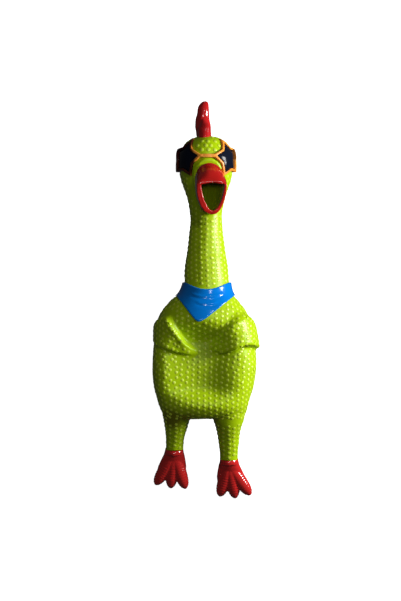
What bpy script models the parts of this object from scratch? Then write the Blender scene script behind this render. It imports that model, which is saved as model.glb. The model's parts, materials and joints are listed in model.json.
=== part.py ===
"""A hollow soft-vinyl squeeze chicken with a squawker in its neck, lying on its back.

+Z points out of the chicken's front, +Y towards its comb and +X to the right as one faces it.
The origin is on the resting surface, under the middle of the toy. Sizes are in millimetres
until mesh_object() turns them into metres.
"""

import math

import bmesh
import bpy
from mathutils import Matrix, Vector

MM = 0.001
WALL = 2.2  # vinyl wall
FIT = 0.3  # gap between neighbouring pieces
BALL_GAP = 0.4  # gap across a flexing cut, on the radius

# Hinge centres of the flexing cuts, and the radius of the round cut about each.
SWAY = Vector((0.8, 16.0, 26.0))
SWAY_R = 20.6
BEND = Vector((0.9, 36.0, 25.6))
BEND_R = 17.2
NOD = Vector((1.0, 58.0, 24.8))
NOD_R = 15.4
HIP = {"left": Vector((-22.6, -96.0, 21.0)), "right": Vector((18.3, -98.0, 21.0))}
ANKLE = {"left": Vector((-24.3, -121.5, 10.5)), "right": Vector((19.0, -129.5, 10.5))}
HIP_CUT = 7.5  # how far below the hip the leg begins
ANKLE_R = 8.4

HEAD = Vector((0.8, 105.0, 23.0))  # head centre
HEAD_YAW = math.radians(2.5)

BELLY_X = (-21.0, 20.0)  # the wall that gives when the belly is pressed
BELLY_Y = (-82.0, -46.0)
BELLY_CORNER = 9.0
BELLY_CUT_Z = (30.0, 70.0)  # from inside the hollow to well outside the skin

DENT_X = -5.0  # where the hollow of the belly is deepest
DENT_DEPTH = 13.0
DENT_WIDTHS = (25.0, 26.0)  # how far the hollow spreads to its left and right
DENT_ENDS = (-84.0, -66.0, -32.0, -14.0)  # it deepens between the first two and fades between the last
SWELL_X = -36.0  # the swelling on the left of the hollow
SWELL_HEIGHT = 3.5
SWELL_WIDTH = 9.0

TORSO_END = -91.7  # the torso's lowest level, between the legs
TORSO_SEGMENTS = 40
NECK_SEGMENTS = 28
LEG_SEGMENTS = 20

# Each row: y, centre x, half width, centre z, half depth, squareness of the section.
TORSO = (
    (34.0, 0.9, 15.6, 25.7, 15.6, 2.0),
    (27.0, 0.9, 16.6, 25.8, 16.6, 2.0),
    (20.0, 1.1, 17.3, 26.0, 17.6, 2.0),
    (14.0, 1.4, 17.6, 26.4, 18.2, 2.0),
    (6.0, 0.7, 20.3, 26.3, 20.0, 2.05),
    (0.0, -0.6, 26.0, 26.4, 21.8, 2.1),
    (-8.0, -0.8, 32.6, 26.5, 24.5, 2.15),
    (-18.0, -0.8, 36.6, 25.8, 27.2, 2.2),
    (-30.0, -0.6, 38.8, 25.7, 28.3, 2.25),
    (-45.0, -0.4, 40.2, 25.5, 28.5, 2.3),
    (-58.0, -0.7, 40.0, 25.6, 28.1, 2.3),
    (-68.0, -1.2, 38.4, 25.4, 27.2, 2.3),
    (-76.0, -1.2, 36.2, 24.6, 25.4, 2.3),
    (-84.0, -0.9, 33.8, 24.0, 21.2, 2.3),
    (-89.0, -0.8, 31.6, 23.8, 16.6, 2.3),
    (TORSO_END, -0.8, 28.0, 23.6, 11.0, 2.3),
)
# Each row: y, centre x, centre z, radius.
NECK = (
    (20.0, 1.1, 26.0, 17.3),
    (27.0, 0.9, 25.8, 16.6),
    (36.0, 0.9, 25.6, 15.2),
    (45.0, 1.0, 25.3, 13.9),
    (54.0, 1.0, 25.0, 12.9),
    (66.0, 1.0, 24.6, 12.3),
    (72.0, 1.0, 24.3, 13.0),
)
# Each row: height above the head's centre, half width, half depth.
SKULL = (
    (-39.0, 12.3, 12.3),
    (-32.0, 13.3, 13.6),
    (-25.5, 14.7, 15.2),
    (-19.0, 16.7, 17.4),
    (-12.0, 19.0, 20.2),
    (-5.0, 20.4, 22.3),
    (3.0, 20.9, 23.0),
    (10.0, 19.9, 22.0),
    (16.0, 17.2, 19.0),
    (20.0, 13.3, 14.8),
    (22.4, 8.0, 9.0),
)
SKULL_TOP = 23.4
# Each row: distance below the hip along the leg, radius.
THIGH = {
    "left": ((-26.0, 12.5), (-15.0, 12.6), (-7.0, 10.9), (0.0, 9.4), (HIP_CUT, 7.9)),
    "right": ((-26.0, 13.0), (-15.0, 13.4), (-7.0, 12.2), (0.0, 10.3), (HIP_CUT, 8.6)),
}
SHANK = {
    "left": ((HIP_CUT, 7.9), (12.0, 7.2), (18.0, 6.9)),
    "right": ((HIP_CUT, 8.6), (13.0, 7.8), (20.0, 7.1)),
}
ANKLE_RADIUS = 6.9


# ---------------------------------------------------------------- meshes and materials


def material(name, colour, roughness, metallic=0.0):
    """A Principled material of one colour."""
    made = bpy.data.materials.new(name)
    made.use_nodes = True
    shader = made.node_tree.nodes["Principled BSDF"]
    shader.inputs["Base Color"].default_value = (*colour, 1.0)
    shader.inputs["Roughness"].default_value = roughness
    shader.inputs["Metallic"].default_value = metallic
    made.diffuse_color = (*colour, 1.0)
    return made


def mesh_object(name, points, faces, paint=None, place=None):
    """A closed mesh from points in millimetres. With no paint it is a hidden helper."""
    mesh = bpy.data.meshes.new(name)
    mesh.from_pydata([Vector(p) * MM for p in points], [], faces)
    shape = bmesh.new()
    shape.from_mesh(mesh)
    bmesh.ops.recalc_face_normals(shape, faces=shape.faces)
    bmesh.ops.triangulate(shape, faces=shape.faces, quad_method="FIXED")
    shape.to_mesh(mesh)
    shape.free()
    mesh.shade_smooth()
    mesh.set_sharp_from_angle(angle=math.radians(40))
    made = bpy.data.objects.new(name, mesh)
    bpy.context.scene.collection.objects.link(made)
    if place:
        made.matrix_world = place
    if paint:
        mesh.materials.append(paint)
    else:
        made.hide_render = True
        made.display_type = "WIRE"
    return made


def stitch(rings, wrap_rings=False, wrap_points=True, lids=()):
    """Quads between rings of equally many points. lids names apex points, as (first, last)."""
    points = [p for ring in rings for p in ring]
    count = len(rings[0])
    faces = []
    last = len(rings) if wrap_rings else len(rings) - 1
    steps = count if wrap_points else count - 1
    for i in range(last):
        a, b = i * count, ((i + 1) % len(rings)) * count
        for j in range(steps):
            k = (j + 1) % count
            faces.append((a + j, a + k, b + k, b + j))
    for ring_index, apex in zip((0, len(rings) - 1), lids):
        if apex is None:
            continue
        points.append(apex)
        start = ring_index * count
        tip = len(points) - 1
        faces += [(start + j, start + (j + 1) % count, tip) for j in range(count)]
    return points, faces


def middle(ring):
    return sum((Vector(p) for p in ring), Vector()) / len(ring)


def closed_loft(name, rings, paint=None, place=None, tips=None):
    """A solid skinned over rings, closed by a fan at each end."""
    first, last = tips or (middle(rings[0]), middle(rings[-1]))
    points, faces = stitch(rings, lids=(first, last))
    return mesh_object(name, points, faces, paint, place)


def open_tube(name, outside, inside, paint, place=None):
    """A hollow tube, open at both ends."""
    points, faces = stitch(outside + inside[::-1], wrap_rings=True)
    return mesh_object(name, points, faces, paint, place)


def thick_patch(name, surface, u_count, v_count, heights, paint, wrap=False, place=None):
    """A curved plate. surface(u, v, height) gives a point for u and v from 0 to 1."""
    low, high = heights
    columns = [j / u_count if wrap else j / (u_count - 1) for j in range(u_count)]
    rows = [i / (v_count - 1) for i in range(v_count)]
    top = [[surface(u, v, high) for u in columns] for v in rows]
    bottom = [[surface(u, v, low) for u in columns] for v in rows]
    points, faces = stitch(top + bottom[::-1], wrap_rings=True, wrap_points=wrap)
    if not wrap:
        # The two side walls: top row i pairs with bottom row i, which is stored in reverse.
        total = 2 * v_count
        for edge in (0, u_count - 1):
            for i in range(v_count - 1):
                a, b = i * u_count + edge, (i + 1) * u_count + edge
                c = (total - 2 - i) * u_count + edge
                d = (total - 1 - i) * u_count + edge
                faces.append((a, b, c, d))
    return mesh_object(name, points, faces, paint, place)


def boolean(target, other, operation):
    step = target.modifiers.new(other.name, "BOOLEAN")
    step.operation = operation
    step.object = other
    step.solver = "EXACT"


# ---------------------------------------------------------------- shapes of the body


def smooth_row(rows, at):
    """The row of a table at a first value between its rows, on a smooth curve through them."""
    rows = rows if rows[0][0] < rows[-1][0] else rows[::-1]
    at = min(max(at, rows[0][0]), rows[-1][0])
    i = max(k for k in range(len(rows) - 1) if rows[k][0] <= at)
    before, low = rows[max(i - 1, 0)], rows[i]
    high, after = rows[i + 1], rows[min(i + 2, len(rows) - 1)]
    span = high[0] - low[0]
    t = (at - low[0]) / span
    found = []
    for k in range(1, len(low)):
        slope_low = (high[k] - before[k]) / (high[0] - before[0]) * span
        slope_high = (after[k] - low[k]) / (after[0] - low[0]) * span
        found.append(
            (2 * t**3 - 3 * t**2 + 1) * low[k]
            + (t**3 - 2 * t**2 + t) * slope_low
            + (3 * t**2 - 2 * t**3) * high[k]
            + (t**3 - t**2) * slope_high
        )
    return found


def power(value, exponent):
    return math.copysign(abs(value) ** exponent, value)


def step_up(at, start, end):
    t = min(max((at - start) / (end - start), 0.0), 1.0)
    return t * t * (3 - 2 * t)


def dent(x, y):
    """How far the chest and belly sink between their two sides, less a swelling on the left."""
    low, full, fading, high = DENT_ENDS
    along = step_up(y, low, full) * (1 - step_up(y, fading, high))
    if x < DENT_X:
        share = ((DENT_X - x) / DENT_WIDTHS[0]) ** 2
    else:
        share = ((x - DENT_X) / DENT_WIDTHS[1]) ** 3
    hollow = DENT_DEPTH * math.exp(-share)
    swelling = SWELL_HEIGHT * math.exp(-(((x - SWELL_X) / SWELL_WIDTH) ** 2))
    return along * (hollow - swelling)


def torso_point(turn, y, grow=0.0):
    """A point of the torso's skin. turn runs from the +X side over the front, in radians."""
    centre_x, half_x, centre_z, half_z, square = smooth_row(TORSO, y)
    x = centre_x + (half_x + grow) * power(math.cos(turn), 2 / square)
    z = centre_z + (half_z + grow) * power(math.sin(turn), 2 / square)
    if math.sin(turn) > 0:
        z -= dent(x, y) * min(1.0, 2 * math.sin(turn))
    return Vector((x, y, max(z, -grow)))  # flat where the back rests


def torso_ring(y, grow=0.0):
    turns = [2 * math.pi * k / TORSO_SEGMENTS for k in range(TORSO_SEGMENTS)]
    return [torso_point(turn, y, grow) for turn in turns]


def circle(centre, axis, radius, count, flat=1.0):
    """A ring about axis. flat squeezes it along its second direction."""
    side = Vector((1, 0, 0)) - axis * axis.x
    side.normalize()
    other = axis.cross(side)
    turns = [2 * math.pi * k / count for k in range(count)]
    return [
        centre + side * radius * math.cos(t) + other * radius * flat * math.sin(t)
        for t in turns
    ]


def neck_ring(y, shrink=0.0):
    centre_x, centre_z, radius = smooth_row(NECK, y)
    centre = Vector((centre_x, y, centre_z))
    return circle(centre, Vector((0, 1, 0)), radius - shrink, NECK_SEGMENTS)


def cut_height(centre, ball, shrink=0.0):
    """Where the neck, less shrink, leaves a ball about centre."""
    height = centre.y
    for _ in range(12):
        radius = smooth_row(NECK, height)[2] - shrink
        height = centre.y + math.sqrt(ball**2 - radius**2)
    return height


def neck_tube(name, start, start_ball, end, paint):
    """A length of neck from just outside a ball about start to height end."""
    ball = start_ball + BALL_GAP
    first_out = cut_height(start, ball)
    first_in = cut_height(start, ball, WALL)
    outside = [neck_ring(first_out)]
    inside = [neck_ring(first_in, WALL)]
    for share in (0.35, 0.7, 1.0):
        outside.append(neck_ring(first_out + share * (end - first_out)))
        inside.append(neck_ring(first_in + share * (end - first_in), WALL))
    return open_tube(name, outside, inside, paint)


def leg_axis(side):
    return (ANKLE[side] - HIP[side]).normalized()


def leg_ring(side, down, radius):
    """A ring round the leg, down millimetres below the hip."""
    axis = leg_axis(side)
    return circle(HIP[side] + axis * down, axis, radius, LEG_SEGMENTS)


# ---------------------------------------------------------------- torso and wings


def belly_prism(name, inset, heights):
    """An upright rounded rectangle over the part of the belly that gives."""
    left, right = BELLY_X[0] + inset, BELLY_X[1] - inset
    bottom, top = BELLY_Y[0] + inset, BELLY_Y[1] - inset
    corner = BELLY_CORNER - inset
    outline = []
    for x, y, start in (
        (right - corner, top - corner, 0),
        (left + corner, top - corner, 90),
        (left + corner, bottom + corner, 180),
        (right - corner, bottom + corner, 270),
    ):
        for k in range(5):
            turn = math.radians(start + 22.5 * k)
            outline.append((x + corner * math.cos(turn), y + corner * math.sin(turn)))
    rings = [[Vector((x, y, z)) for x, y in outline] for z in heights]
    return closed_loft(name, rings)


def torso_solid(name, grow, top):
    """The torso's whole form, grown or shrunk, up to height top."""
    levels = (27.0, 20.0, 14.0, 8.0, 3.0, -2.0, -8.0, -18.0, -30.0, -42.0, -54.0)
    levels += (-63.0, -70.0, -77.0, -84.0, -89.0)
    last = TORSO_END - grow
    rings = [torso_ring(top, grow)]
    rings += [torso_ring(y, grow) for y in levels if y < top - 1 and y > last + 1]
    closing = torso_ring(TORSO_END, grow)
    rings.append([Vector((p.x, last, p.z)) for p in closing])
    return closed_loft(name, rings)


def torso(paint):
    """The hollow torso with its two thigh stumps, open at the neck, the hips and the belly."""
    top = cut_height(SWAY, SWAY_R)
    shell = torso_solid("torso_shell", 0.0, top)
    shell.hide_render = False
    shell.display_type = "TEXTURED"
    shell.data.materials.append(paint)
    for side, rows in THIGH.items():
        rings = [leg_ring(side, down, radius) for down, radius in rows]
        thigh = closed_loft(f"thigh_{side}_form", rings)
        boolean(shell, thigh, "UNION")
    hollow = torso_solid("torso_hollow", -WALL, top + 4.0)
    boolean(shell, hollow, "DIFFERENCE")
    for side, rows in THIGH.items():
        longer = rows[1:] + ((rows[-1][0] + 3.0, rows[-1][1]),)
        rings = [leg_ring(side, down, radius - WALL) for down, radius in longer]
        boolean(shell, closed_loft(f"thigh_{side}_hollow", rings), "DIFFERENCE")
    opening = belly_prism("belly_opening", 0.0, BELLY_CUT_Z)
    boolean(shell, opening, "DIFFERENCE")
    return hollow


def belly_panel(hollow, paint):
    """The part of the front wall that is pressed in to make the squawk."""
    panel = belly_prism("belly_panel", BALL_GAP, BELLY_CUT_Z)
    panel.hide_render = False
    panel.display_type = "TEXTURED"
    panel.data.materials.append(paint)
    boolean(panel, torso_solid("belly_form", 0.0, 20.0), "INTERSECT")
    boolean(panel, hollow, "DIFFERENCE")


# Each row: degrees round the torso from its side, upper edge, lower edge, relief.
WINGS = {
    "left": (
        (83.0, -38.0, -41.4, 1.0),
        (78.0, -35.0, -42.2, 4.6),
        (72.0, -31.0, -42.0, 6.2),
        (62.0, -22.5, -41.0, 5.8),
        (52.6, -15.4, -39.8, 5.6),
        (44.4, -10.4, -38.8, 4.8),
        (30.0, -9.5, -36.5, 3.2),
        (11.0, -15.0, -33.4, 2.4),
        (-6.0, -20.0, -31.4, 1.6),
        (-25.0, -23.0, -29.0, 0.4),
    ),
    "right": (
        (84.0, -32.0, -38.5, 0.5),
        (74.0, -24.0, -41.3, 3.2),
        (63.4, -17.0, -40.2, 4.8),
        (47.0, -9.0, -36.2, 5.4),
        (29.5, -7.0, -36.6, 5.0),
        (16.0, -9.5, -37.6, 4.2),
        (0.0, -15.0, -38.0, 3.0),
        (-25.0, -24.0, -33.0, 0.4),
    ),
}


def wing_share(side, v):
    """The share of a wing's relief at v, from 0 on its lower edge to 1 on its upper edge."""
    if side == "left":
        return step_up(v, 0.0, 0.09) * (0.4 + 0.6 * v / 0.86) * (1 - step_up(v, 0.84, 1.0))
    return step_up(v, 0.0, 0.09) * (1 - step_up(v, 0.76, 1.0))


def wing(side, torso_skin, paint):
    """A folded wing lying on the chest."""
    rows = WINGS[side]

    def surface(u, v, height):
        angle = rows[0][0] + u * (rows[-1][0] - rows[0][0])
        top, bottom, lift = smooth_row(rows, angle)
        turn = math.radians(angle if side == "right" else 180.0 - angle)
        grow = max(lift, 0.0) * wing_share(side, v) if height > 0 else height
        return torso_point(turn, bottom + v * (top - bottom), grow)

    made = thick_patch(f"wing_{side}", surface, 26, 14, (-1.0, 1.0), paint)
    boolean(made, torso_skin, "DIFFERENCE")


# ---------------------------------------------------------------- bandana


BANDANA_TIP = Vector((-5.0, -16.2))
BANDANA_HEM = 3.8  # the lower edge at the back
BANDANA_TOP = 14.2  # the upper edge at the back
BANDANA_SAG = 5.4  # how far the upper edge dips in front
BANDANA_FACES = (0.75, 2.2)  # its inner and outer face above the skin
BANDANA_SLOPES = (0.85, 1.4)  # how steeply the point rises to its right and left
BANDANA_ROUND = 3.0  # how blunt the point is


def bandana_hem(turn):
    """The neckerchief's lower edge: level behind, and coming to a point in front."""
    y = 0.0
    for _ in range(10):
        away = torso_point(turn, y).x - BANDANA_TIP.x
        slope = BANDANA_SLOPES[0] if away > 0 else BANDANA_SLOPES[1]
        point = BANDANA_TIP.y + math.hypot(slope * away, BANDANA_ROUND) - BANDANA_ROUND
        y = (y + point) / 2
    return BANDANA_HEM if math.sin(turn) < 0 else min(BANDANA_HEM, y)


def bandana(paint):
    """The neckerchief: a band round the neck's base whose front hangs in a point."""

    def surface(u, v, height):
        turn = 2 * math.pi * u
        top = BANDANA_TOP - BANDANA_SAG * max(math.sin(turn), 0.0) ** 3
        low = bandana_hem(turn)
        return torso_point(turn, low + v * (top - low), height)

    thick_patch("bandana", surface, 48, 6, BANDANA_FACES, paint, wrap=True)


# ---------------------------------------------------------------- legs and feet


# Each toe: its lean away from the body's middle in degrees, its length from the ankle.
TOES = {
    "left": ((31.8, 28.4), (6.0, 27.0), (-18.8, 28.8)),
    "right": ((35.4, 29.6), (10.8, 27.2), (-16.6, 26.4)),
}
# Each row: share of a toe's length, radius, height of its middle.
TOE = (
    (0.16, 3.6, 8.6),
    (0.40, 4.6, 7.2),
    (0.64, 5.0, 5.8),
    (0.84, 4.2, 4.6),
    (0.96, 2.4, 3.6),
)
TOE_TIP = 3.2  # height of a toe's tip
# Each row: distance ahead of the ankle, distance below it, half width, half height.
WEB = (
    (0.0, 0.4, 7.7, 7.2),
    (5.0, 2.2, 9.4, 7.0),
    (10.0, 3.6, 10.4, 5.6),
    (16.0, 4.6, 10.2, 3.6),
)
WEB_LEAN = 0.16  # how far the web goes outward for each millimetre ahead


def leg(side, paint):
    """The hollow leg between the hip cut and the ankle cut."""
    axis_length = (ANKLE[side] - HIP[side]).length
    ball = math.hypot(HIP_CUT, THIGH[side][-1][1]) + BALL_GAP
    rows = list(SHANK[side])
    start_out = math.sqrt(ball**2 - rows[0][1] ** 2)
    start_in = math.sqrt(ball**2 - (rows[0][1] - WALL) ** 2)
    ankle_ball = ANKLE_R + BALL_GAP
    end_out = axis_length - math.sqrt(ankle_ball**2 - ANKLE_RADIUS**2)
    end_in = axis_length - math.sqrt(ankle_ball**2 - (ANKLE_RADIUS - WALL) ** 2)
    outside = [(start_out, rows[0][1])] + rows[1:] + [(end_out, ANKLE_RADIUS)]
    inside = [(start_in, rows[0][1])] + rows[1:] + [(end_in, ANKLE_RADIUS)]
    open_tube(
        f"leg_{side}",
        [leg_ring(side, down, radius) for down, radius in outside],
        [leg_ring(side, down, radius - WALL) for down, radius in inside],
        paint,
    )


def foot(side, paint):
    """A foot: a round ankle, a fan-shaped web and three ridged toes, flat underneath."""
    outward = -1 if side == "left" else 1
    ankle, axis = ANKLE[side], leg_axis(side)
    rise = math.sqrt(ANKLE_R**2 - ANKLE_RADIUS**2)

    def grounded(ring):
        return [Vector((p.x, p.y, max(p.z, 0.0))) for p in ring]

    neck = [circle(ankle - axis * rise, axis, ANKLE_RADIUS, LEG_SEGMENTS)]
    for ahead, drop, half_x, half_z in WEB:
        centre = ankle + Vector((outward * ahead * WEB_LEAN, -ahead, -drop))
        flat = half_z / half_x
        neck.append(circle(centre, Vector((0, -1, 0)), half_x, LEG_SEGMENTS, flat))
    made = closed_loft(f"foot_{side}", [grounded(ring) for ring in neck], paint)
    for number, (lean, reach) in enumerate(TOES[side]):
        turn = math.radians(lean)
        way = Vector((outward * math.sin(turn), -math.cos(turn), 0))
        rings = []
        for share, radius, height in TOE:
            centre = Vector((ankle.x, ankle.y, height)) + way * reach * share
            rings.append(grounded(circle(centre, way, radius, 12)))
        tip = Vector((ankle.x, ankle.y, TOE_TIP)) + way * reach
        toe = closed_loft(
            f"toe_{side}_{number}", rings, tips=(middle(rings[0]), tip)
        )
        boolean(made, toe, "UNION")


# ---------------------------------------------------------------- head


def head_place():
    """The head's own frame: its centre, turned a little to its left."""
    return Matrix.Translation(HEAD * MM) @ Matrix.Rotation(HEAD_YAW, 4, "Y")


def skull_point(turn, height, grow=0.0):
    """A point of the head's skin in the head's frame. turn runs from the front to +X."""
    half_x, half_z = smooth_row(SKULL, height)
    lean = 1.3 * step_up(-height, 5.0, 35.0)  # the neck meets it a little forward
    x = (half_x + grow) * math.sin(turn)
    z = lean + (half_z + grow) * math.cos(turn)
    return Vector((x, height, z))


def skull_ring(height, grow, count=36):
    return [skull_point(2 * math.pi * k / count, height, grow) for k in range(count)]


def head_shell(paint):
    """The hollow head, open to the neck and at the mouth."""
    levels = [row[0] for row in SKULL[1:]]
    ball = NOD_R + BALL_GAP
    start_out = cut_height(NOD, ball) - HEAD.y
    start_in = cut_height(NOD, ball, WALL) - HEAD.y
    outside = [skull_ring(start_out, 0.0)] + [skull_ring(h, 0.0) for h in levels]
    inside = [skull_ring(start_in, -WALL)]
    inside += [skull_ring(h - 0.6, -WALL) for h in levels[:-1]]
    roof = Vector((0, SKULL_TOP - WALL, 0))
    points, faces = stitch(
        inside[::-1] + outside, lids=(roof, Vector((0, SKULL_TOP, 0)))
    )
    shell = mesh_object("head_shell", points, faces, paint, head_place())
    mouth = [muzzle_ring(z, MOUTH_INSET) for z in (6.0, 30.0)]
    boolean(shell, closed_loft("mouth_cutter", mouth, place=head_place()), "DIFFERENCE")


def skull_form(grow):
    """The head's whole form, grown, for fitting what sits on it."""
    rings = [skull_ring(-39.0, grow)] + [skull_ring(row[0], grow) for row in SKULL[1:]]
    tips = (Vector((0, -39.0, 0)), Vector((0, SKULL_TOP + grow, 0)))
    return closed_loft("head_form", rings, tips=tips, place=head_place())


# Each row: z out from the head's centre, half width, top, widest level, bottom.
MUZZLE = (
    (10.0, 11.9, 3.4, -14.0, -38.6),
    (20.0, 11.8, 2.2, -14.4, -38.6),
    (24.0, 11.7, 0.0, -14.8, -38.7),
    (28.0, 11.6, -2.6, -15.4, -38.8),
    (34.0, 11.5, -7.2, -16.4, -39.0),
    (37.5, 11.4, -11.0, -17.0, -39.2),
    (39.5, 11.3, -14.4, -17.3, -39.2),
)
MUZZLE_LENGTH = 29.5  # from the first row out to the lips
MUZZLE_SLANT = 0.2  # how much further out the upper lip reaches, per millimetre of height
MUZZLE_X = 2.6  # the beak sits to one side of the middle
MUZZLE_LEAN = 0.09  # how far its top leans sideways, per millimetre of height
MUZZLE_SKEW = 0.3  # how far its inside is moved sideways, per millimetre of wall
MUZZLE_CORNER = 0.18  # how much thicker the lower lip is at its corners
MOUTH_INSET = 4.4  # the hole into the head is this much smaller than the beak
BEAK_WALL = 2.0
GAPE = math.radians(7.0)  # where the two halves of the beak part, above its middle


def muzzle_point(turn, z, inset):
    """A point of the beak's tube. turn runs from +X over the top, z out from the head."""
    half_x, top, widest, bottom = smooth_row(MUZZLE, z)
    rise = math.sin(turn)
    if rise > 0:
        y = widest + max(top - widest - inset, 0.4) * rise
        x = (half_x - inset) * math.cos(turn) - MUZZLE_LEAN * (y - widest)
    else:
        thick = inset * (1 + MUZZLE_CORNER * math.sin(2 * turn) ** 2)
        y = widest + (widest - bottom - thick) * rise
        x = (half_x - thick) * math.cos(turn)
    slant = MUZZLE_SLANT * (y + 20.0) * step_up(z, 24.0, 38.0)
    return Vector((x + MUZZLE_X + MUZZLE_SKEW * inset, y, z + slant))


def muzzle_form(grow):
    """The beak's whole form, grown, for fitting the spectacles round it."""
    rings = [muzzle_ring(z, -grow) for z in (10.0, 20.0, 28.0)]
    return closed_loft("beak_form", rings, place=head_place())


def muzzle_ring(z, inset):
    return [muzzle_point(2 * math.pi * k / 28, z, inset) for k in range(28)]


def beak(name, start, end, paint, skull):
    """One half of the beak: a bent plate between two turns of the muzzle."""

    def surface(u, v, height):
        turn = start + u * (end - start)
        return muzzle_point(turn, MUZZLE[0][0] + v * MUZZLE_LENGTH, -height)

    made = thick_patch(name, surface, 17, 7, (-BEAK_WALL, 0.0), paint, place=head_place())
    boolean(made, skull, "DIFFERENCE")


def comb(skull, paint):
    """A fleshy three-lobed comb, its tallest lobe curling at the tip."""
    lobes = (
        # Each lobe: depth of its middle, its rows (height, x, half thickness, half depth), its tip.
        (
            0.0,
            (
                (17.0, -1.4, 5.2, 7.2),
                (22.5, -1.6, 5.5, 7.4),
                (26.0, -1.9, 5.9, 7.2),
                (30.5, -2.2, 6.1, 6.6),
                (37.2, -2.6, 5.2, 5.4),
                (44.0, -2.2, 4.5, 4.4),
                (47.8, -1.3, 3.6, 3.4),
                (49.6, -0.5, 2.4, 2.3),
            ),
            (0.0, 50.6, -0.8),
        ),
        (
            7.0,
            ((14.0, -1.4, 4.4, 6.0), (22.0, -1.6, 4.8, 5.6), (29.0, -1.9, 4.4, 4.0)),
            (-1.8, 38.5, 4.0),
        ),
        (
            -9.0,
            ((12.0, -1.4, 4.4, 6.4), (22.0, -1.6, 4.6, 6.0), (31.0, -1.9, 4.0, 4.2)),
            (-1.8, 36.0, -10.5),
        ),
    )
    made = None
    for number, (depth, rows, tip) in enumerate(lobes):
        rings = [
            circle(
                Vector((x, y, depth)), Vector((0, 1, 0)), half_x, 14, half_z / half_x
            )
            for y, x, half_x, half_z in rows
        ]
        tips = (middle(rings[0]), Vector(tip))
        lobe = closed_loft(
            "comb" if made is None else f"comb_lobe_{number}",
            rings,
            paint if made is None else None,
            head_place(),
            tips,
        )
        if made is None:
            made = lobe
        else:
            boolean(made, lobe, "UNION")
    boolean(made, skull, "DIFFERENCE")


# ---------------------------------------------------------------- star spectacles


STAR_TURN = math.radians(53.5)  # how far round the head each star's middle sits
STAR_HEIGHT = 5.0
STAR_OUT = 15.6
STAR_IN = 12.6
STAR_WAIST = 0.62
STAR_LEAN = math.radians(-6.0)
STAR_SPREAD = 20.5  # radius that turns a distance along the skin into an angle
STAR_CORNERS = 40  # points round a star: four to each straight edge
LENS_REACH = STAR_IN - 0.7
LENS_HEIGHT = 1.6
RIM_HEIGHT = 2.4
STAR_CEILING = 21.6  # the stars stop here, just under the crown
BRIDGE_TURN = math.radians(18.0)  # the bridge's half length, round the head
BRIDGE_LOW = 4.9
BRIDGE_WIDTH = 2.8
BRIDGE_HEIGHTS = (0.4, 2.0)
ARM_TURNS = (math.radians(77.0), math.radians(136.0))  # where a side arm starts and ends
ARM_LOW = 2.8
ARM_WIDTH = 4.0
ARM_DROP = 3.0
ARM_HEIGHTS = (0.4, 1.9)


def star_edge(share, reach):
    """A point of a fat five-pointed star, one of whose points aims at the nose."""
    corner = share * 10
    low, part = int(corner) % 10, corner - int(corner)
    ends = []
    for k in (low, low + 1):
        radius = reach * (1.0 if k % 2 == 0 else STAR_WAIST)
        turn = math.pi + STAR_LEAN + math.pi * k / 5
        ends.append((radius * math.cos(turn), radius * math.sin(turn)))
    (x0, y0), (x1, y1) = ends
    return x0 + part * (x1 - x0), y0 + part * (y1 - y0)


def on_skull(side, across, up, height):
    """A point across and up from a star's middle, along the head's skin."""
    turn = side * (STAR_TURN + across / STAR_SPREAD)
    return skull_point(turn, min(STAR_HEIGHT + up, STAR_CEILING), height)


def lens(name, side, paint):
    """A dark star lens that follows the head."""
    levels = []
    for height in (LENS_HEIGHT, FIT):
        rings = []
        for reach in (LENS_REACH, LENS_REACH / 2):
            edge = [star_edge(k / STAR_CORNERS, reach) for k in range(STAR_CORNERS)]
            rings.append([on_skull(side, x, y, height) for x, y in edge])
        levels.append(rings)
    outer, inner = levels[0], levels[1]
    rings = [outer[1], outer[0], inner[0], inner[1]]
    tips = (on_skull(side, 0, 0, LENS_HEIGHT), on_skull(side, 0, 0, FIT))
    closed_loft(name, rings, paint, head_place(), tips)


def star_rim(name, side, paint=None):
    def surface(u, v, height):
        reach = STAR_IN + v * (STAR_OUT - STAR_IN)
        across, up = star_edge(u, reach)
        return on_skull(side, across, up, height)

    heights = (FIT, RIM_HEIGHT)
    return thick_patch(name, surface, STAR_CORNERS, 3, heights, paint, True, head_place())


def glasses_frame(paint):
    """The two star rims, joined by a bridge over the beak and carried on two side arms."""
    made = star_rim("glasses_frame", 1, paint)
    boolean(made, star_rim("glasses_rim_left", -1), "UNION")

    def bridge(u, v, height):
        return skull_point(BRIDGE_TURN * (2 * u - 1), BRIDGE_LOW + BRIDGE_WIDTH * v, height)

    bar = thick_patch("glasses_bridge", bridge, 9, 2, BRIDGE_HEIGHTS, None, False, head_place())
    boolean(made, bar, "UNION")
    for side in (-1, 1):

        def arm(u, v, height):
            turn = side * (ARM_TURNS[0] + (ARM_TURNS[1] - ARM_TURNS[0]) * u)
            return skull_point(turn, ARM_LOW + ARM_WIDTH * v - ARM_DROP * u, height)

        name = f"glasses_arm_{side}"
        limb = thick_patch(name, arm, 7, 2, ARM_HEIGHTS, None, False, head_place())
        boolean(made, limb, "UNION")
    boolean(made, muzzle_form(0.5), "DIFFERENCE")


# ---------------------------------------------------------------- squawker


BARREL_BOTTOM = 39.0
BARREL_TOP = 64.0
BARREL_OUT = 7.8
BARREL_IN = 6.7
BARREL_BEAD = 10.0
PIPE_CENTRE = Vector((1.0, 0.0, 24.8))
TROUGH_OUT = 4.2
TROUGH_WALL = 0.9
TROUGH_END = 59.0
REED_WIDTH = 6.6
REED_THICK = 0.4
REED_ROOT = 45.0
REED_END = 58.0
GRILLE = (61.6, 63.2)  # the grille's two faces along the barrel
GRILLE_HOLE = 1.6
GRILLE_SPREAD = 4.0  # six holes in a ring about a seventh
CARRIER = (39.6, 43.4)  # the carrier's two faces
WEDGE_TOP = 2.6  # above the trough's flat rim


def pipe_ring(y, radius, count=28):
    centre = PIPE_CENTRE + Vector((0, y, 0))
    return circle(centre, Vector((0, 1, 0)), radius, count)


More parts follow.
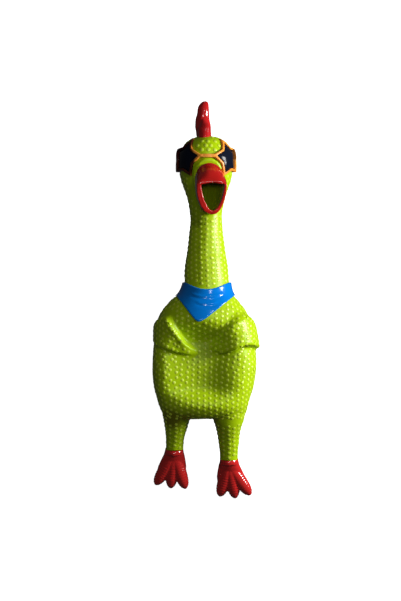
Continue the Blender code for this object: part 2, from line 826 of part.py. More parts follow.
def box(name, low, high, paint=None):
    """A block between two corners."""
    rings = [
        [
            Vector((x, y, z))
            for x, z in (
                (low[0], low[2]),
                (high[0], low[2]),
                (high[0], high[2]),
                (low[0], high[2]),
            )
        ]
        for y in (low[1], high[1])
    ]
    return closed_loft(name, rings, paint)


def squawker(housing_paint, reed_paint):
    """The noise maker: a barrel, a grille, and a reed held on a trough by a wedge."""
    # The barrel's top bead is a firm fit in the narrow part of the neck.
    profile = (
        (BARREL_BOTTOM, BARREL_OUT),
        (BARREL_TOP - 6.0, BARREL_OUT),
        (BARREL_TOP - 5.0, BARREL_BEAD),
        (BARREL_TOP - 1.0, BARREL_BEAD),
        (BARREL_TOP, BARREL_OUT),
    )
    outside = [pipe_ring(y, radius) for y, radius in profile]
    inside = [pipe_ring(y, BARREL_IN) for y, _ in profile]
    open_tube("squawk_barrel", outside, inside, housing_paint)

    # The grille keeps fingers and crumbs off the reed.
    rings = [pipe_ring(y, BARREL_IN - FIT) for y in GRILLE]
    grille = closed_loft("throat_grille", rings, housing_paint)
    for k in range(7):
        reach = 0.0 if k == 6 else GRILLE_SPREAD
        turn = math.radians(60 * k)
        offset = Vector((reach * math.cos(turn), 0, reach * math.sin(turn)))
        centre = PIPE_CENTRE + offset
        hole = [
            circle(centre + Vector((0, y, 0)), Vector((0, 1, 0)), GRILLE_HOLE, 10)
            for y in (GRILLE[0] - 1.0, GRILLE[1] + 1.0)
        ]
        boolean(grille, closed_loft(f"grille_hole_{k}", hole), "DIFFERENCE")

    # The carrier closes the bottom of the barrel, all but the trough's mouth.
    x, z = PIPE_CENTRE.x, PIPE_CENTRE.z
    rings = [pipe_ring(y, BARREL_IN - FIT) for y in CARRIER]
    carrier = closed_loft("reed_carrier", rings, housing_paint)
    seat = half_round_rings(TROUGH_OUT + FIT, (38.0, 45.0), -FIT)
    boolean(carrier, closed_loft("trough_seat", seat), "DIFFERENCE")
    half = REED_WIDTH / 2
    side = half + FIT + 0.1
    slot = box("wedge_seat", (x - side, 38.0, z - 0.1), (x + side, REED_ROOT, z + WEDGE_TOP + FIT))
    boolean(carrier, slot, "DIFFERENCE")

    # The trough is a half pipe, closed at its far end, whose flat rim the reed beats on.
    rings = half_round_rings(TROUGH_OUT, (40.0, 52.0, TROUGH_END), 0.0)
    trough = closed_loft("tone_trough", rings, housing_paint)
    hollow = half_round_rings(TROUGH_OUT - TROUGH_WALL, (38.0, 52.0, 58.0), -1.0)
    boolean(trough, closed_loft("trough_hollow", hollow), "DIFFERENCE")

    low = z + FIT
    high = low + REED_THICK
    box("reed", (x - half, REED_ROOT, low), (x + half, REED_END, high), reed_paint)
    wedge_low = (x - half, 40.0, low)
    box("reed_wedge", wedge_low, (x + half, REED_ROOT - FIT, z + WEDGE_TOP), housing_paint)


def half_round_rings(radius, levels, lift):
    """Half discs under the pipe's middle. lift below zero raises their flat side."""
    rings = []
    for y in levels:
        ring = []
        for k in range(11):
            turn = math.pi + math.pi * k / 10
            ring.append(
                PIPE_CENTRE
                + Vector((radius * math.cos(turn), y, radius * math.sin(turn)))
            )
        for end in (1, -1):
            ring.append(PIPE_CENTRE + Vector((end * radius, y, 0.01 - lift)))
        rings.append(ring)
    return rings


# ---------------------------------------------------------------- assembly


def main():
    for item in list(bpy.data.objects):
        bpy.data.objects.remove(item)

    green = material("green_vinyl", (0.32, 0.52, 0.01), 0.38)
    red = material("red_paint", (0.48, 0.01, 0.01), 0.25)
    blue = material("blue_paint", (0.0, 0.19, 0.80), 0.22)
    orange = material("orange_paint", (0.85, 0.27, 0.03), 0.3)
    black = material("lens_paint", (0.008, 0.008, 0.012), 0.1)
    white = material("squawker_plastic", (0.78, 0.78, 0.74), 0.35)
    clear = material("reed_film", (0.82, 0.80, 0.70), 0.2)

    hollow = torso(green)
    belly_panel(hollow, green)
    torso_skin = torso_solid("torso_form", 0.5, 24.0)
    for side in ("left", "right"):
        wing(side, torso_skin, green)
        leg(side, green)
        foot(side, red)
    bandana(blue)

    neck_tube("neck_root", SWAY, SWAY_R, cut_height(BEND, BEND_R), green)
    neck_tube("neck", BEND, BEND_R, cut_height(NOD, NOD_R), green)

    head_shell(green)
    skull = skull_form(FIT)
    comb(skull, red)
    beak("upper_beak", GAPE, math.pi - GAPE, red, skull)
    gap = math.radians(2.0)
    beak("lower_beak", math.pi - GAPE + gap, 2 * math.pi + GAPE - gap, red, skull)
    glasses_frame(orange)
    lens("lens_right", 1, black)
    lens("lens_left", -1, black)
    squawker(white, clear)


main()
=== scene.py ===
"""How the squeeze chicken looks: one studded vinyl skin, cut where it flexes, and its painted parts.

Shapes are worked out in millimetres, in the frame's axes, and turned into metres by bare_object().
"""

import json
import math

import bmesh
import bpy
import numpy as np
from mathutils import Matrix, Vector, noise
from mathutils.bvhtree import BVHTree

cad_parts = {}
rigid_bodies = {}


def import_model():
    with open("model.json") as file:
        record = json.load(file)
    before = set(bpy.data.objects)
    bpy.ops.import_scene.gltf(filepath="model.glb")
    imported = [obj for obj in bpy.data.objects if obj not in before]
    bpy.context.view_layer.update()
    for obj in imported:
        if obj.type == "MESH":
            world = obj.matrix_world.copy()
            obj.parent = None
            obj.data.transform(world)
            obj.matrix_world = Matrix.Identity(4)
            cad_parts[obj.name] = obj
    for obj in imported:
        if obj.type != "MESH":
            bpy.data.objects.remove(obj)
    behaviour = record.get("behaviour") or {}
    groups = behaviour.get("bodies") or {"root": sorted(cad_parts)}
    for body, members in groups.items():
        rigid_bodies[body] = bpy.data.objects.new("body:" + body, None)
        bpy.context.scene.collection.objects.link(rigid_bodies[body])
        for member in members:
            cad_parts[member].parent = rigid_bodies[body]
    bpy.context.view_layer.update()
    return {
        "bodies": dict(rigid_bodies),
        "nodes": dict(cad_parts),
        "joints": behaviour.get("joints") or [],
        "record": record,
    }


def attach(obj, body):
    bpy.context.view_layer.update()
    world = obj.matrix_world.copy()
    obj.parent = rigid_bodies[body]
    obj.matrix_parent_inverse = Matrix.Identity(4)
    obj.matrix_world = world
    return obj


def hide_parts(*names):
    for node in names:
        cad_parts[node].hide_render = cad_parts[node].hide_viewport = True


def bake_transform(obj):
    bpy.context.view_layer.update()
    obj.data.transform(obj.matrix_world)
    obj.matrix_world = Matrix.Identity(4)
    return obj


MM = 0.001
SKIN = 1.8  # vinyl wall
SKIN_GRID = 1.05  # size of the skin's faces
SKIN_WAVES = (13.0, 0.5)  # length and height of the slow unevenness of the skin

# The skin's cuts across the neck and the hips, and the lines where the feet's paint starts.
SWAY_CUTS = (9.0, 26.5)
BEND_CUTS = (26.5, 45.5)
NOD_CUTS = (45.5, 69.0)
HIP_CUTS = {"left": (-93.0, -105.5), "right": (-93.0, -107.5)}
PAINT_LINE = {"left": -117.0, "right": -124.8}
MID_LEGS = -4.0
CROTCH_Y = -93.0
CROTCH_REACH = (15.0, 8.0)  # how far the extra smoothing between the legs goes, across and along

# The belly gives inside the inner frame and hangs on to the body at the outer one.
BELLY_OUTER = ((-32.0, 31.0), (-89.5, -42.0))
BELLY_INNER = ((-14.0, 13.0), (-76.5, -54.0))
BELLY_LEVEL = 33.0  # the part of the skin that gives lies above this height

HIP = {"left": Vector((-22.6, -96.0, 21.0)), "right": Vector((18.3, -98.0, 21.0))}
ANKLE = {"left": Vector((-24.3, -121.5, 10.5)), "right": Vector((19.0, -129.5, 10.5))}
HEAD = Vector((0.8, 105.0, 23.0))
HEAD_YAW = math.radians(2.5)
HEAD_PLACE = Matrix.Translation(HEAD) @ Matrix.Rotation(HEAD_YAW, 4, "Y")
HEADWARD = Vector((0, 1, 0))

DENT_X = -5.0  # where the hollow of the belly is deepest
DENT_DEPTH = 13.0
DENT_WIDTHS = (25.0, 26.0)  # how far the hollow spreads to its left and right
DENT_ENDS = (-84.0, -66.0, -32.0, -14.0)  # it starts, is full, starts to fade and ends at these
SWELL_X = -36.0  # the swelling on the left of the hollow
SWELL_HEIGHT = 3.5
SWELL_WIDTH = 9.0

STUD_RADIUS = 1.25
STUD_HEIGHT = 0.34
STUD_HIGHLIGHT_FACES = tuple(range(8, 24)) + tuple(range(24, 40, 2))  # the faces of a stud's top, painted paler as a painted highlight
STUD_COLUMN = 4.4  # between columns of studs
STUD_ROW = 2.0  # half the distance along a column: neighbouring columns are staggered
STUD_SPAN = (126.0, -92.0)  # the rows run from the crown down to the crotch
STUD_SUNK = -0.35  # a stud's foot lies inside the skin by this share of its height
STUD_CLEAR = 1.5  # from the painted parts
FOREHEAD_STUD = 1.45  # radius of the larger studs on the forehead
FOREHEAD_GRID = (5.2, 3.4)  # between their columns and between their rows
FOREHEAD_LOW = 11.0  # the height of their lowest row

# Each row: y, centre x, half width, centre z, half depth, squareness of the section.
TORSO = (
    (34.0, 0.9, 15.6, 25.7, 15.6, 2.0),
    (27.0, 0.9, 16.6, 25.8, 16.6, 2.0),
    (20.0, 1.1, 17.3, 26.0, 17.6, 2.0),
    (14.0, 1.4, 17.6, 26.4, 18.2, 2.0),
    (6.0, 0.7, 20.3, 26.3, 20.0, 2.05),
    (0.0, -0.6, 26.0, 26.4, 21.8, 2.1),
    (-8.0, -0.8, 32.6, 26.5, 24.5, 2.15),
    (-18.0, -0.8, 36.6, 25.8, 27.2, 2.2),
    (-30.0, -0.6, 38.8, 25.7, 28.3, 2.25),
    (-45.0, -0.4, 40.2, 25.5, 28.5, 2.3),
    (-58.0, -0.7, 40.0, 25.6, 28.1, 2.3),
    (-68.0, -1.2, 38.4, 25.4, 27.2, 2.3),
    (-76.0, -1.2, 36.2, 24.6, 25.4, 2.3),
    (-84.0, -0.9, 33.8, 24.0, 21.2, 2.3),
    (-89.0, -0.8, 31.6, 23.8, 16.6, 2.3),
    (-91.7, -0.8, 28.0, 23.6, 11.0, 2.3),
)
# Each row: y, centre x, centre z, radius.
NECK = (
    (20.0, 1.1, 26.0, 17.3),
    (27.0, 0.9, 25.8, 16.6),
    (36.0, 0.9, 25.6, 15.2),
    (45.0, 1.0, 25.3, 13.9),
    (54.0, 1.0, 25.0, 12.9),
    (66.0, 1.0, 24.6, 12.3),
    (72.0, 1.0, 24.3, 13.0),
)
# Each row: height above the head's centre, half width, half depth.
SKULL = (
    (-39.0, 12.3, 12.3),
    (-32.0, 13.3, 13.6),
    (-25.5, 14.7, 15.2),
    (-19.0, 16.7, 17.4),
    (-12.0, 19.0, 20.2),
    (-5.0, 20.4, 22.3),
    (3.0, 20.9, 23.0),
    (10.0, 19.9, 22.0),
    (16.0, 17.2, 19.0),
    (20.0, 13.3, 14.8),
    (22.4, 8.0, 9.0),
)
SKULL_TOP = 23.4
SKULL_LEAN = 1.3  # how far the head's lower end comes forward
# Each row: distance below the hip along the leg, radius.
LEG = {
    "left": (
        (-26.0, 12.5), (-15.0, 12.6), (-7.0, 10.9), (0.0, 9.4), (7.5, 7.9), (12.0, 7.2), (18.0, 6.9),
        (24.0, 6.9),
    ),
    "right": (
        (-26.0, 13.0), (-15.0, 13.4), (-7.0, 12.2), (0.0, 10.3), (7.5, 8.6), (13.0, 7.8), (20.0, 7.1),
        (30.0, 7.0),
    ),
}
# Each row: degrees round the torso from its own side, upper edge, lower edge, relief.
WINGS = {
    "left": (
        (83.0, -38.0, -41.4, 1.0),
        (78.0, -35.0, -42.2, 4.6),
        (72.0, -31.0, -42.0, 6.2),
        (62.0, -22.5, -41.0, 5.8),
        (52.6, -15.4, -39.8, 5.6),
        (44.4, -10.4, -38.8, 4.8),
        (30.0, -9.5, -36.5, 3.2),
        (11.0, -15.0, -33.4, 2.4),
        (-6.0, -20.0, -31.4, 1.6),
        (-25.0, -23.0, -29.0, 0.4),
    ),
    "right": (
        (84.0, -32.0, -38.5, 0.5),
        (74.0, -24.0, -41.3, 3.2),
        (63.4, -17.0, -40.2, 4.8),
        (47.0, -9.0, -36.2, 5.4),
        (29.5, -7.0, -36.6, 5.0),
        (16.0, -9.5, -37.6, 4.2),
        (0.0, -15.0, -38.0, 3.0),
        (-25.0, -24.0, -33.0, 0.4),
    ),
}
WING_EDGE = 0.09  # share of a wing's width over which its lower edge rises
WING_FALL = {"left": 0.84, "right": 0.76}  # and where it starts to fall to its upper edge
# Each row: z out from the head's centre, half width, top, widest level, bottom.
MUZZLE = (
    (10.0, 11.9, 3.4, -14.0, -38.6),
    (20.0, 11.8, 2.2, -14.4, -38.6),
    (24.0, 11.7, 0.0, -14.8, -38.7),
    (28.0, 11.6, -2.6, -15.4, -38.8),
    (34.0, 11.5, -7.2, -16.4, -39.0),
    (37.5, 11.4, -11.0, -17.0, -39.2),
    (39.5, 11.3, -14.4, -17.3, -39.2),
)
MUZZLE_SLANT = 0.2  # how much further out the upper lip reaches, per millimetre of height
MUZZLE_PIVOT = -20.0  # the height at which the slant changes nothing
MUZZLE_X = 2.6  # the beak sits to one side of the middle
MUZZLE_LEAN = 0.09  # how far its top leans sideways, per millimetre of height
MUZZLE_SKEW = 0.3  # how far its inside is moved sideways, per millimetre of wall
MUZZLE_CORNER = 0.18  # how much thicker the lower lip is at its corners, as a share
BEAK_WALL = 1.9
BEAK_ROOT = 9.0  # how far out from the head's centre the beak starts, inside the skin
BEAK_LIP = 39.5
LIP_BEAD = 0.9
LIP_RISE = (31.8, 38.1)  # the bead swells between these two distances out
COLLAR_AT = (22.0, 21.0)  # how far out the beak is taken for its outline, and the face for its curve
COLLAR_GAP = 1.6  # between the beak and the middle of the collar
COLLAR_SIZE = (1.5, 1.2)  # half its width and half its height
COLLAR_SIDES = 10
COLLAR_STEPS = 72
MOUTH_AT = 14.0  # the beak's outline here gives the hole into the head its middle
MOUTH_SIZE = (10.8, 18.6)  # half its width and half its height
FACE_MIDDLE = (1.0, -14.0)  # of the smooth band round the beak
FACE_SIZE = (15.0, 22.0)

STAR_TURN = math.radians(53.5)  # how far round the head each star's middle sits
STAR_HEIGHT = 5.0
STAR_OUT = 15.6
STAR_IN = 12.6
STAR_WAIST = 0.62
STAR_LEAN = math.radians(-6.0)
STAR_SPREAD = 20.5  # radius that turns a distance along the skin into an angle
STAR_CEILING = 21.6  # the stars stop here, just under the crown
STAR_FLARE = 1.4  # how much further a rim's outer side stands off the head
RIM_HEIGHT = 2.2
LENS_LAP = 0.25  # how far a lens reaches into its rim
LENS_BACK = -0.3
BRIDGE_TURN = math.radians(18.0)  # the bridge's half length, round the head
BRIDGE_LOW = 4.9
BRIDGE_WIDTH = 2.8
BRIDGE_HEIGHT = 1.9
ARM_TURNS = (77.0, 59.0)  # degrees round the head to where a side arm starts, and on to its end
ARM_LOW = 2.8
ARM_WIDTH = 4.0
ARM_DROP = 3.0
ARM_HEIGHT = 1.7
SUNK = -0.5  # the height of a rim's, bridge's or arm's back, inside the skin

# Each toe: its lean away from the body's middle in degrees, its length from the ankle.
TOES = {
    "left": ((31.8, 28.4), (6.0, 27.0), (-18.8, 28.8)),
    "right": ((35.4, 29.6), (10.8, 27.2), (-16.6, 26.4)),
}
# Each row: share of a toe's length, radius, height of its middle.
TOE = (
    (0.0, 4.8, 10.0),
    (0.2, 5.2, 9.2),
    (0.4, 5.4, 7.8),
    (0.6, 5.1, 6.3),
    (0.78, 4.4, 5.0),
    (0.9, 3.2, 4.1),
    (0.97, 1.7, 3.6),
)
TOE_TIP = 3.4  # height of a toe's tip
TOE_RIB = 0.17  # height of the ribs across a toe
TOE_RIBS_APART = 2.0
# Each row: distance ahead of the ankle, drop below it, half width, half height.
WEB = (
    (-0.5, 0.2, 8.2, 7.0),
    (4.0, 1.8, 9.7, 6.0),
    (9.0, 3.4, 11.2, 4.2),
    (14.0, 4.8, 11.4, 3.0),
)
WEB_LEAN = 0.16  # how far the web goes outward for each millimetre ahead
SOLE = 0.35  # the feet's lowest level

BANDANA_TIP = Vector((-5.0, -16.2))
BANDANA_HEM = 3.8  # the lower edge at the back
BANDANA_TOP = 14.2  # the upper edge at the back
BANDANA_SAG = 5.4  # how far the upper edge dips in front
BANDANA_SLOPES = (0.85, 1.4)  # how steeply the point rises to its right and left
BANDANA_ROUND = 3.0  # how blunt the point is
BANDANA_FACES = (-0.4, 1.5)  # its inner and outer face above the skin
# Each row: the fold's lowest level in front, how far it reaches to each side.
FOLDS = ((2.9, 13.0), (-2.4, 9.0))
FOLD_SAG = 0.018  # how steeply a fold rises towards the shoulders
FOLD_RIDGE = (0.42, 1.0)  # height and width
FOLD_GROOVE = (0.30, 1.1)
FOLD_STEP = 1.9  # from a fold's ridge down to its groove

# The camera and the lights are placed in metres.
CAMERA_HEIGHT = 1.6
CAMERA_X = -0.0035
FRAME_HEIGHT = 0.4682  # what the camera sees at the height of the head's centre
SENSOR = 36.0
FLOOR_HALF = 1500.0
FLOOR_LEVEL = -0.2
# Each row: name, place, diameter, power.
LIGHTS = (
    ("key", (0.66, 0.16, 0.24), 0.24, 8.4),
    ("top", (0.26, 0.40, 0.85), 0.12, 1.1),
    ("fill", (0.02, 0.10, 1.5), 0.12, 1.6),
)
LIT_POINT = Vector((0, 0, 0.03))
SKY = 0.04


# Shapes.


def smooth_row(rows, at):
    """The row of a table at a first value between its rows, on a smooth curve through them."""
    rows = rows if rows[0][0] < rows[-1][0] else rows[::-1]
    at = min(max(at, rows[0][0]), rows[-1][0])
    i = max(k for k in range(len(rows) - 1) if rows[k][0] <= at)
    before, low = rows[max(i - 1, 0)], rows[i]
    high, after = rows[i + 1], rows[min(i + 2, len(rows) - 1)]
    span = high[0] - low[0]
    t = (at - low[0]) / span
    found = []
    for k in range(1, len(low)):
        slope_low = (high[k] - before[k]) / (high[0] - before[0]) * span
        slope_high = (after[k] - low[k]) / (after[0] - low[0]) * span
        found.append(
            (2 * t**3 - 3 * t**2 + 1) * low[k]
            + (t**3 - 2 * t**2 + t) * slope_low
            + (3 * t**2 - 2 * t**3) * high[k]
            + (t**3 - t**2) * slope_high
        )
    return found


def step_up(at, start, end):
    t = min(max((at - start) / (end - start), 0.0), 1.0)
    return t * t * (3 - 2 * t)


def power(value, exponent):
    return math.copysign(abs(value) ** exponent, value)


def steps(start, end, size):
    """Evenly spaced values from start to end, about size apart."""
    return np.linspace(start, end, max(int(abs(end - start) / size), 1) + 1)


def dent(x, y):
    """How far the chest and belly sink between their two sides, less a swelling on the left."""
    low, full, fading, high = DENT_ENDS
    along = step_up(y, low, full) * (1 - step_up(y, fading, high))
    if x < DENT_X:
        share = ((DENT_X - x) / DENT_WIDTHS[0]) ** 2
    else:
        share = ((x - DENT_X) / DENT_WIDTHS[1]) ** 3
    hollow = DENT_DEPTH * math.exp(-share)
    swelling = SWELL_HEIGHT * math.exp(-(((x - SWELL_X) / SWELL_WIDTH) ** 2))
    return along * (hollow - swelling)


def torso_point(turn, y, grow=0.0):
    """A point of the torso's skin. turn runs from the +X side over the front, in radians."""
    centre_x, half_x, centre_z, half_z, square = smooth_row(TORSO, y)
    x = centre_x + (half_x + grow) * power(math.cos(turn), 2 / square)
    z = centre_z + (half_z + grow) * power(math.sin(turn), 2 / square)
    if math.sin(turn) > 0:
        z -= dent(x, y) * min(1.0, 2 * math.sin(turn))
    return Vector((x, y, max(z, -grow)))


def circle(centre, axis, radius, count, flat=1.0):
    """A ring about axis. flat squeezes it along its second direction."""
    side = Vector((1, 0, 0)) - axis * axis.x
    side.normalize()
    other = axis.cross(side)
    turns = [2 * math.pi * k / count for k in range(count)]
    return [
        centre + side * radius * math.cos(t) + other * radius * flat * math.sin(t)
        for t in turns
    ]


def skull_point(turn, height, grow=0.0):
    """A point of the head's skin in the head's frame. turn runs from the front to +X."""
    half_x, half_z = smooth_row(SKULL, height)
    lean = SKULL_LEAN * step_up(-height, 5.0, 35.0)
    x = (half_x + grow) * math.sin(turn)
    z = lean + (half_z + grow) * math.cos(turn)
    return Vector((x, height, z))


def muzzle_point(turn, z, inset):
    """A point of the beak's tube. turn runs from +X over the top, z out from the head."""
    half_x, top, widest, bottom = smooth_row(MUZZLE, z)
    rise = math.sin(turn)
    if rise > 0:
        y = widest + max(top - widest - inset, 0.4) * rise
        x = (half_x - inset) * math.cos(turn) - MUZZLE_LEAN * (y - widest)
    else:
        thick = inset * (1 + MUZZLE_CORNER * math.sin(2 * turn) ** 2)
        y = widest + (widest - bottom - thick) * rise
        x = (half_x - thick) * math.cos(turn)
    slant = MUZZLE_SLANT * (y - MUZZLE_PIVOT) * step_up(z, 24.0, 38.0)
    return Vector((x + MUZZLE_X + MUZZLE_SKEW * inset, y, z + slant))


# Meshes.


def middle(ring):
    return sum((Vector(p) for p in ring), Vector()) / len(ring)


def tube_faces(rings, count, closed=False, wrap=True):
    """The faces between rings of count points. closed joins the last ring to the first one."""
    faces = []
    for i in range(rings if closed else rings - 1):
        a, b = i * count, (i + 1) % rings * count
        for j in range(count if wrap else count - 1):
            k = (j + 1) % count
            faces.append((a + j, a + k, b + k, b + j))
    return faces


def loft(rings, tips=None, place=None):
    """A solid skinned over rings, closed by a fan at each end: its points and faces."""
    count = len(rings[0])
    points = [p for ring in rings for p in ring]
    faces = tube_faces(len(rings), count)
    for start, apex in zip(
        (0, (len(rings) - 1) * count), tips or (middle(rings[0]), middle(rings[-1]))
    ):
        points.append(Vector(apex))
        faces += [(start + j, start + (j + 1) % count, len(points) - 1) for j in range(count)]
    if place:
        points = [place @ p for p in points]
    return points, faces


def plate(surface, u_count, v_count, heights, wrap=False, place=None):
    """A curved plate: surface(u, v, height) gives a point for u and v from 0 to 1."""
    low, high = heights
    columns = [j / u_count if wrap else j / (u_count - 1) for j in range(u_count)]
    rows = [i / (v_count - 1) for i in range(v_count)]
    rings = [[surface(u, v, high) for u in columns] for v in rows]
    rings += [[surface(u, v, low) for u in columns] for v in rows[::-1]]
    points = [p for ring in rings for p in ring]
    total = len(rings)
    faces = tube_faces(total, u_count, True, wrap)
    if not wrap:
        for edge in (0, u_count - 1):
            for i in range(v_count - 1):
                a, b = i * u_count + edge, (i + 1) * u_count + edge
                c, d = (total - 2 - i) * u_count + edge, (total - 1 - i) * u_count + edge
                faces.append((a, b, c, d))
    if place:
        points = [place @ p for p in points]
    return points, faces


def bare_object(name, points, faces):
    mesh = bpy.data.meshes.new(name)
    mesh.from_pydata([tuple(Vector(p) * MM) for p in points], [], [tuple(f) for f in faces])
    made = bpy.data.objects.new(name, mesh)
    bpy.context.scene.collection.objects.link(made)
    return made


def relax(points, faces, rounds):
    """Smooths a mesh without shrinking it: each round takes a step in and a step out."""
    pairs = np.concatenate([faces[:, (k, (k + 1) % 4)] for k in range(4)])
    pairs = np.unique(np.sort(pairs, axis=1), axis=0)
    ends = np.concatenate([pairs, pairs[:, ::-1]])
    degree = np.bincount(ends[:, 0], minlength=len(points))[:, None]
    for step in range(rounds * 2):
        total = np.stack(
            [
                np.bincount(ends[:, 0], weights=points[ends[:, 1], k], minlength=len(points))
                for k in range(3)
            ],
            axis=1,
        )
        pull = total / np.maximum(degree, 1) - points
        points = points + pull * (0.5 if step % 2 == 0 else -0.52)
    return points


def fused(parts, voxel, rounds):
    """Overlapping solids melted into one smooth skin of quads: its points and faces."""
    points, faces = [], []
    for part_points, part_faces in parts:
        first = len(points)
        points += part_points
        faces += [tuple(first + k for k in face) for face in part_faces]
    raw = bare_object("raw", points, faces)
    shape = bmesh.new()
    shape.from_mesh(raw.data)
    bmesh.ops.recalc_face_normals(shape, faces=shape.faces)
    shape.to_mesh(raw.data)
    shape.free()
    remesh = raw.modifiers.new("remesh", "REMESH")
    remesh.mode = "VOXEL"
    remesh.voxel_size = voxel * MM
    remesh.adaptivity = 0.0
    done = raw.evaluated_get(bpy.context.evaluated_depsgraph_get()).to_mesh()
    found = np.empty(len(done.vertices) * 3)
    done.vertices.foreach_get("co", found)
    quads = np.array([tuple(f.vertices) for f in done.polygons if len(f.vertices) == 4])
    bpy.data.objects.remove(raw)
    return relax(found.reshape(-1, 3) / MM, quads, rounds), quads


def vertex_normals(points, faces):
    """Outward normals of a mesh of quads or triangles, one for each point."""
    faces = np.asarray(faces)
    a, b, c = points[faces[:, 0]], points[faces[:, 1]], points[faces[:, 2]]
    d = points[faces[:, -1]]
    face_normals = np.cross(c - a, d - b) if faces.shape[1] == 4 else np.cross(b - a, c - a)
    normals = np.zeros_like(points)
    for k in range(faces.shape[1]):
        np.add.at(normals, faces[:, k], face_normals)
    return normals / np.maximum(np.linalg.norm(normals, axis=1, keepdims=True), 1e-9)


def smooth_object(name, points, faces, paint):
    made = bare_object(name, points, faces)
    made.data.shade_smooth()
    made.data.materials.append(paint)
    return made


def wobble(points, normals, size, height, seed):
    """Points pushed in and out along their normals by slow noise."""
    offset = Vector((seed * 7.3, seed * 3.1, seed * 5.7))
    push = [noise.noise(Vector(p) / size + offset) for p in points]
    return points + normals * (np.array(push) * height)[:, None]


# The skin.


def leg_ring(side, down, count=40):
    axis = (ANKLE[side] - HIP[side]).normalized()
    radius = smooth_row(LEG[side], down)[0]
    return circle(HIP[side] + axis * down, axis, radius, count)


def wing_share(side, v):
    """The share of a wing's relief at v, from 0 on its lower edge to 1 on its upper edge."""
    rise = step_up(v, 0.0, WING_EDGE)
    if side == "left":
        rise *= 0.4 + 0.6 * v / 0.86
    return rise * (1 - step_up(v, WING_FALL[side], 1.0))


def wing_form(side):
    """A folded wing lying on the chest: a ridged left one, a rounder right one."""
    rows = WINGS[side]

    def surface(u, v, height):
        angle = rows[0][0] + u * (rows[-1][0] - rows[0][0])
        top, bottom, lift = smooth_row(rows, angle)
        turn = math.radians(angle if side == "right" else 180.0 - angle)
        grow = max(lift, 0.0) * wing_share(side, v) if height > 0 else height
        return torso_point(turn, bottom + v * (top - bottom), grow)

    return plate(surface, 90, 60, (-3.0, 1.0))


def skin_form():
    """The whole green skin as one surface."""
    turns = [2 * math.pi * k / 120 for k in range(120)]
    torso = [[torso_point(t, y) for t in turns] for y in steps(TORSO[0][0], TORSO[-1][0], 2.0)]
    neck = []
    for y in steps(NECK[0][0], NECK[-1][0], 2.0):
        centre_x, centre_z, radius = smooth_row(NECK, y)
        neck.append(circle(Vector((centre_x, y, centre_z)), HEADWARD, radius, 64))
    turns = [2 * math.pi * k / 72 for k in range(72)]
    skull = [[skull_point(t, h) for t in turns] for h in steps(SKULL[0][0], SKULL[-1][0], 1.6)]
    ends = (Vector((0, SKULL[0][0], 0)), Vector((0, SKULL_TOP, 0)))
    parts = [loft(torso), loft(neck), loft(skull, ends, HEAD_PLACE)]
    for side in ("left", "right"):
        reach = steps(LEG[side][0][0], LEG[side][-1][0], 2.0)
        parts.append(loft([leg_ring(side, down) for down in reach]))
        parts.append(wing_form(side))
    parts.append(beak_collar())
    points, faces = fused(parts, SKIN_GRID, 4)
    across = (points[:, 0] - MID_LEGS) / CROTCH_REACH[0]
    along = (points[:, 1] - CROTCH_Y) / CROTCH_REACH[1]
    crotch = np.exp(-(across**4) - along**4)
    points = points + (relax(points, faces, 25) - points) * crotch[:, None]
    normals = vertex_normals(points, faces)
    points = wobble(points, normals, *SKIN_WAVES, 1)
    points[:, 2] = np.maximum(points[:, 2], 0.0)
    return points, faces


def beak_collar():
    """The low raised ring of skin round the root of the beak."""
    points = []
    for k in range(COLLAR_STEPS):
        turn = 2 * math.pi * k / COLLAR_STEPS
        outline = muzzle_point(turn, COLLAR_AT[0], -COLLAR_GAP)
        around = math.atan2(outline.x, COLLAR_AT[1])
        centre = skull_point(around, max(outline.y, -37.0), 0.0)
        outward = Vector((math.cos(turn), math.sin(turn), 0))
        up = Vector((math.sin(around), 0, math.cos(around)))
        for n in range(COLLAR_SIDES):
            a = 2 * math.pi * n / COLLAR_SIDES
            away = outward * COLLAR_SIZE[0] * math.cos(a) + up * COLLAR_SIZE[1] * math.sin(a)
            points.append(HEAD_PLACE @ (centre + away))
    return points, tube_faces(COLLAR_STEPS, COLLAR_SIDES, closed=True)


def cut_skin(points, faces):
    """The skin with edges along every cut: its points, normals and faces."""
    shape = bmesh.new()
    for p in points:
        shape.verts.new(p)
    shape.verts.ensure_lookup_table()
    for face in faces:
        shape.faces.new([shape.verts[k] for k in face])
    levels = sorted({*SWAY_CUTS, *BEND_CUTS, *NOD_CUTS})
    levels += [y for cuts in HIP_CUTS.values() for y in cuts]
    levels += PAINT_LINE.values()
    planes = [((0, y, 0), HEADWARD) for y in levels]
    planes.append(((0, 0, BELLY_LEVEL), (0, 0, 1)))
    for k in (0, 1):
        planes += [((frame[0][k], 0, 0), (1, 0, 0)) for frame in (BELLY_OUTER, BELLY_INNER)]
        planes += [((0, frame[1][k], 0), HEADWARD) for frame in (BELLY_OUTER, BELLY_INNER)]
        for j in (0, 1):
            corner = Vector((BELLY_OUTER[0][k], BELLY_OUTER[1][j], 0))
            inner = Vector((BELLY_INNER[0][k], BELLY_INNER[1][j], 0))
            mitre = inner - corner
            planes.append((corner, (-mitre.y, mitre.x, 0)))
    for place, way in planes:
        everything = shape.verts[:] + shape.edges[:] + shape.faces[:]
        bmesh.ops.bisect_plane(
            shape, geom=everything, dist=1e-4, plane_co=place, plane_no=Vector(way).normalized()
        )
    bmesh.ops.recalc_face_normals(shape, faces=shape.faces)
    shape.normal_update()
    shape.verts.index_update()
    found = np.array([v.co for v in shape.verts])
    normals = np.array([v.normal for v in shape.verts])
    polygons = [tuple(v.index for v in face.verts) for face in shape.faces]
    shape.free()
    return found, normals, polygons


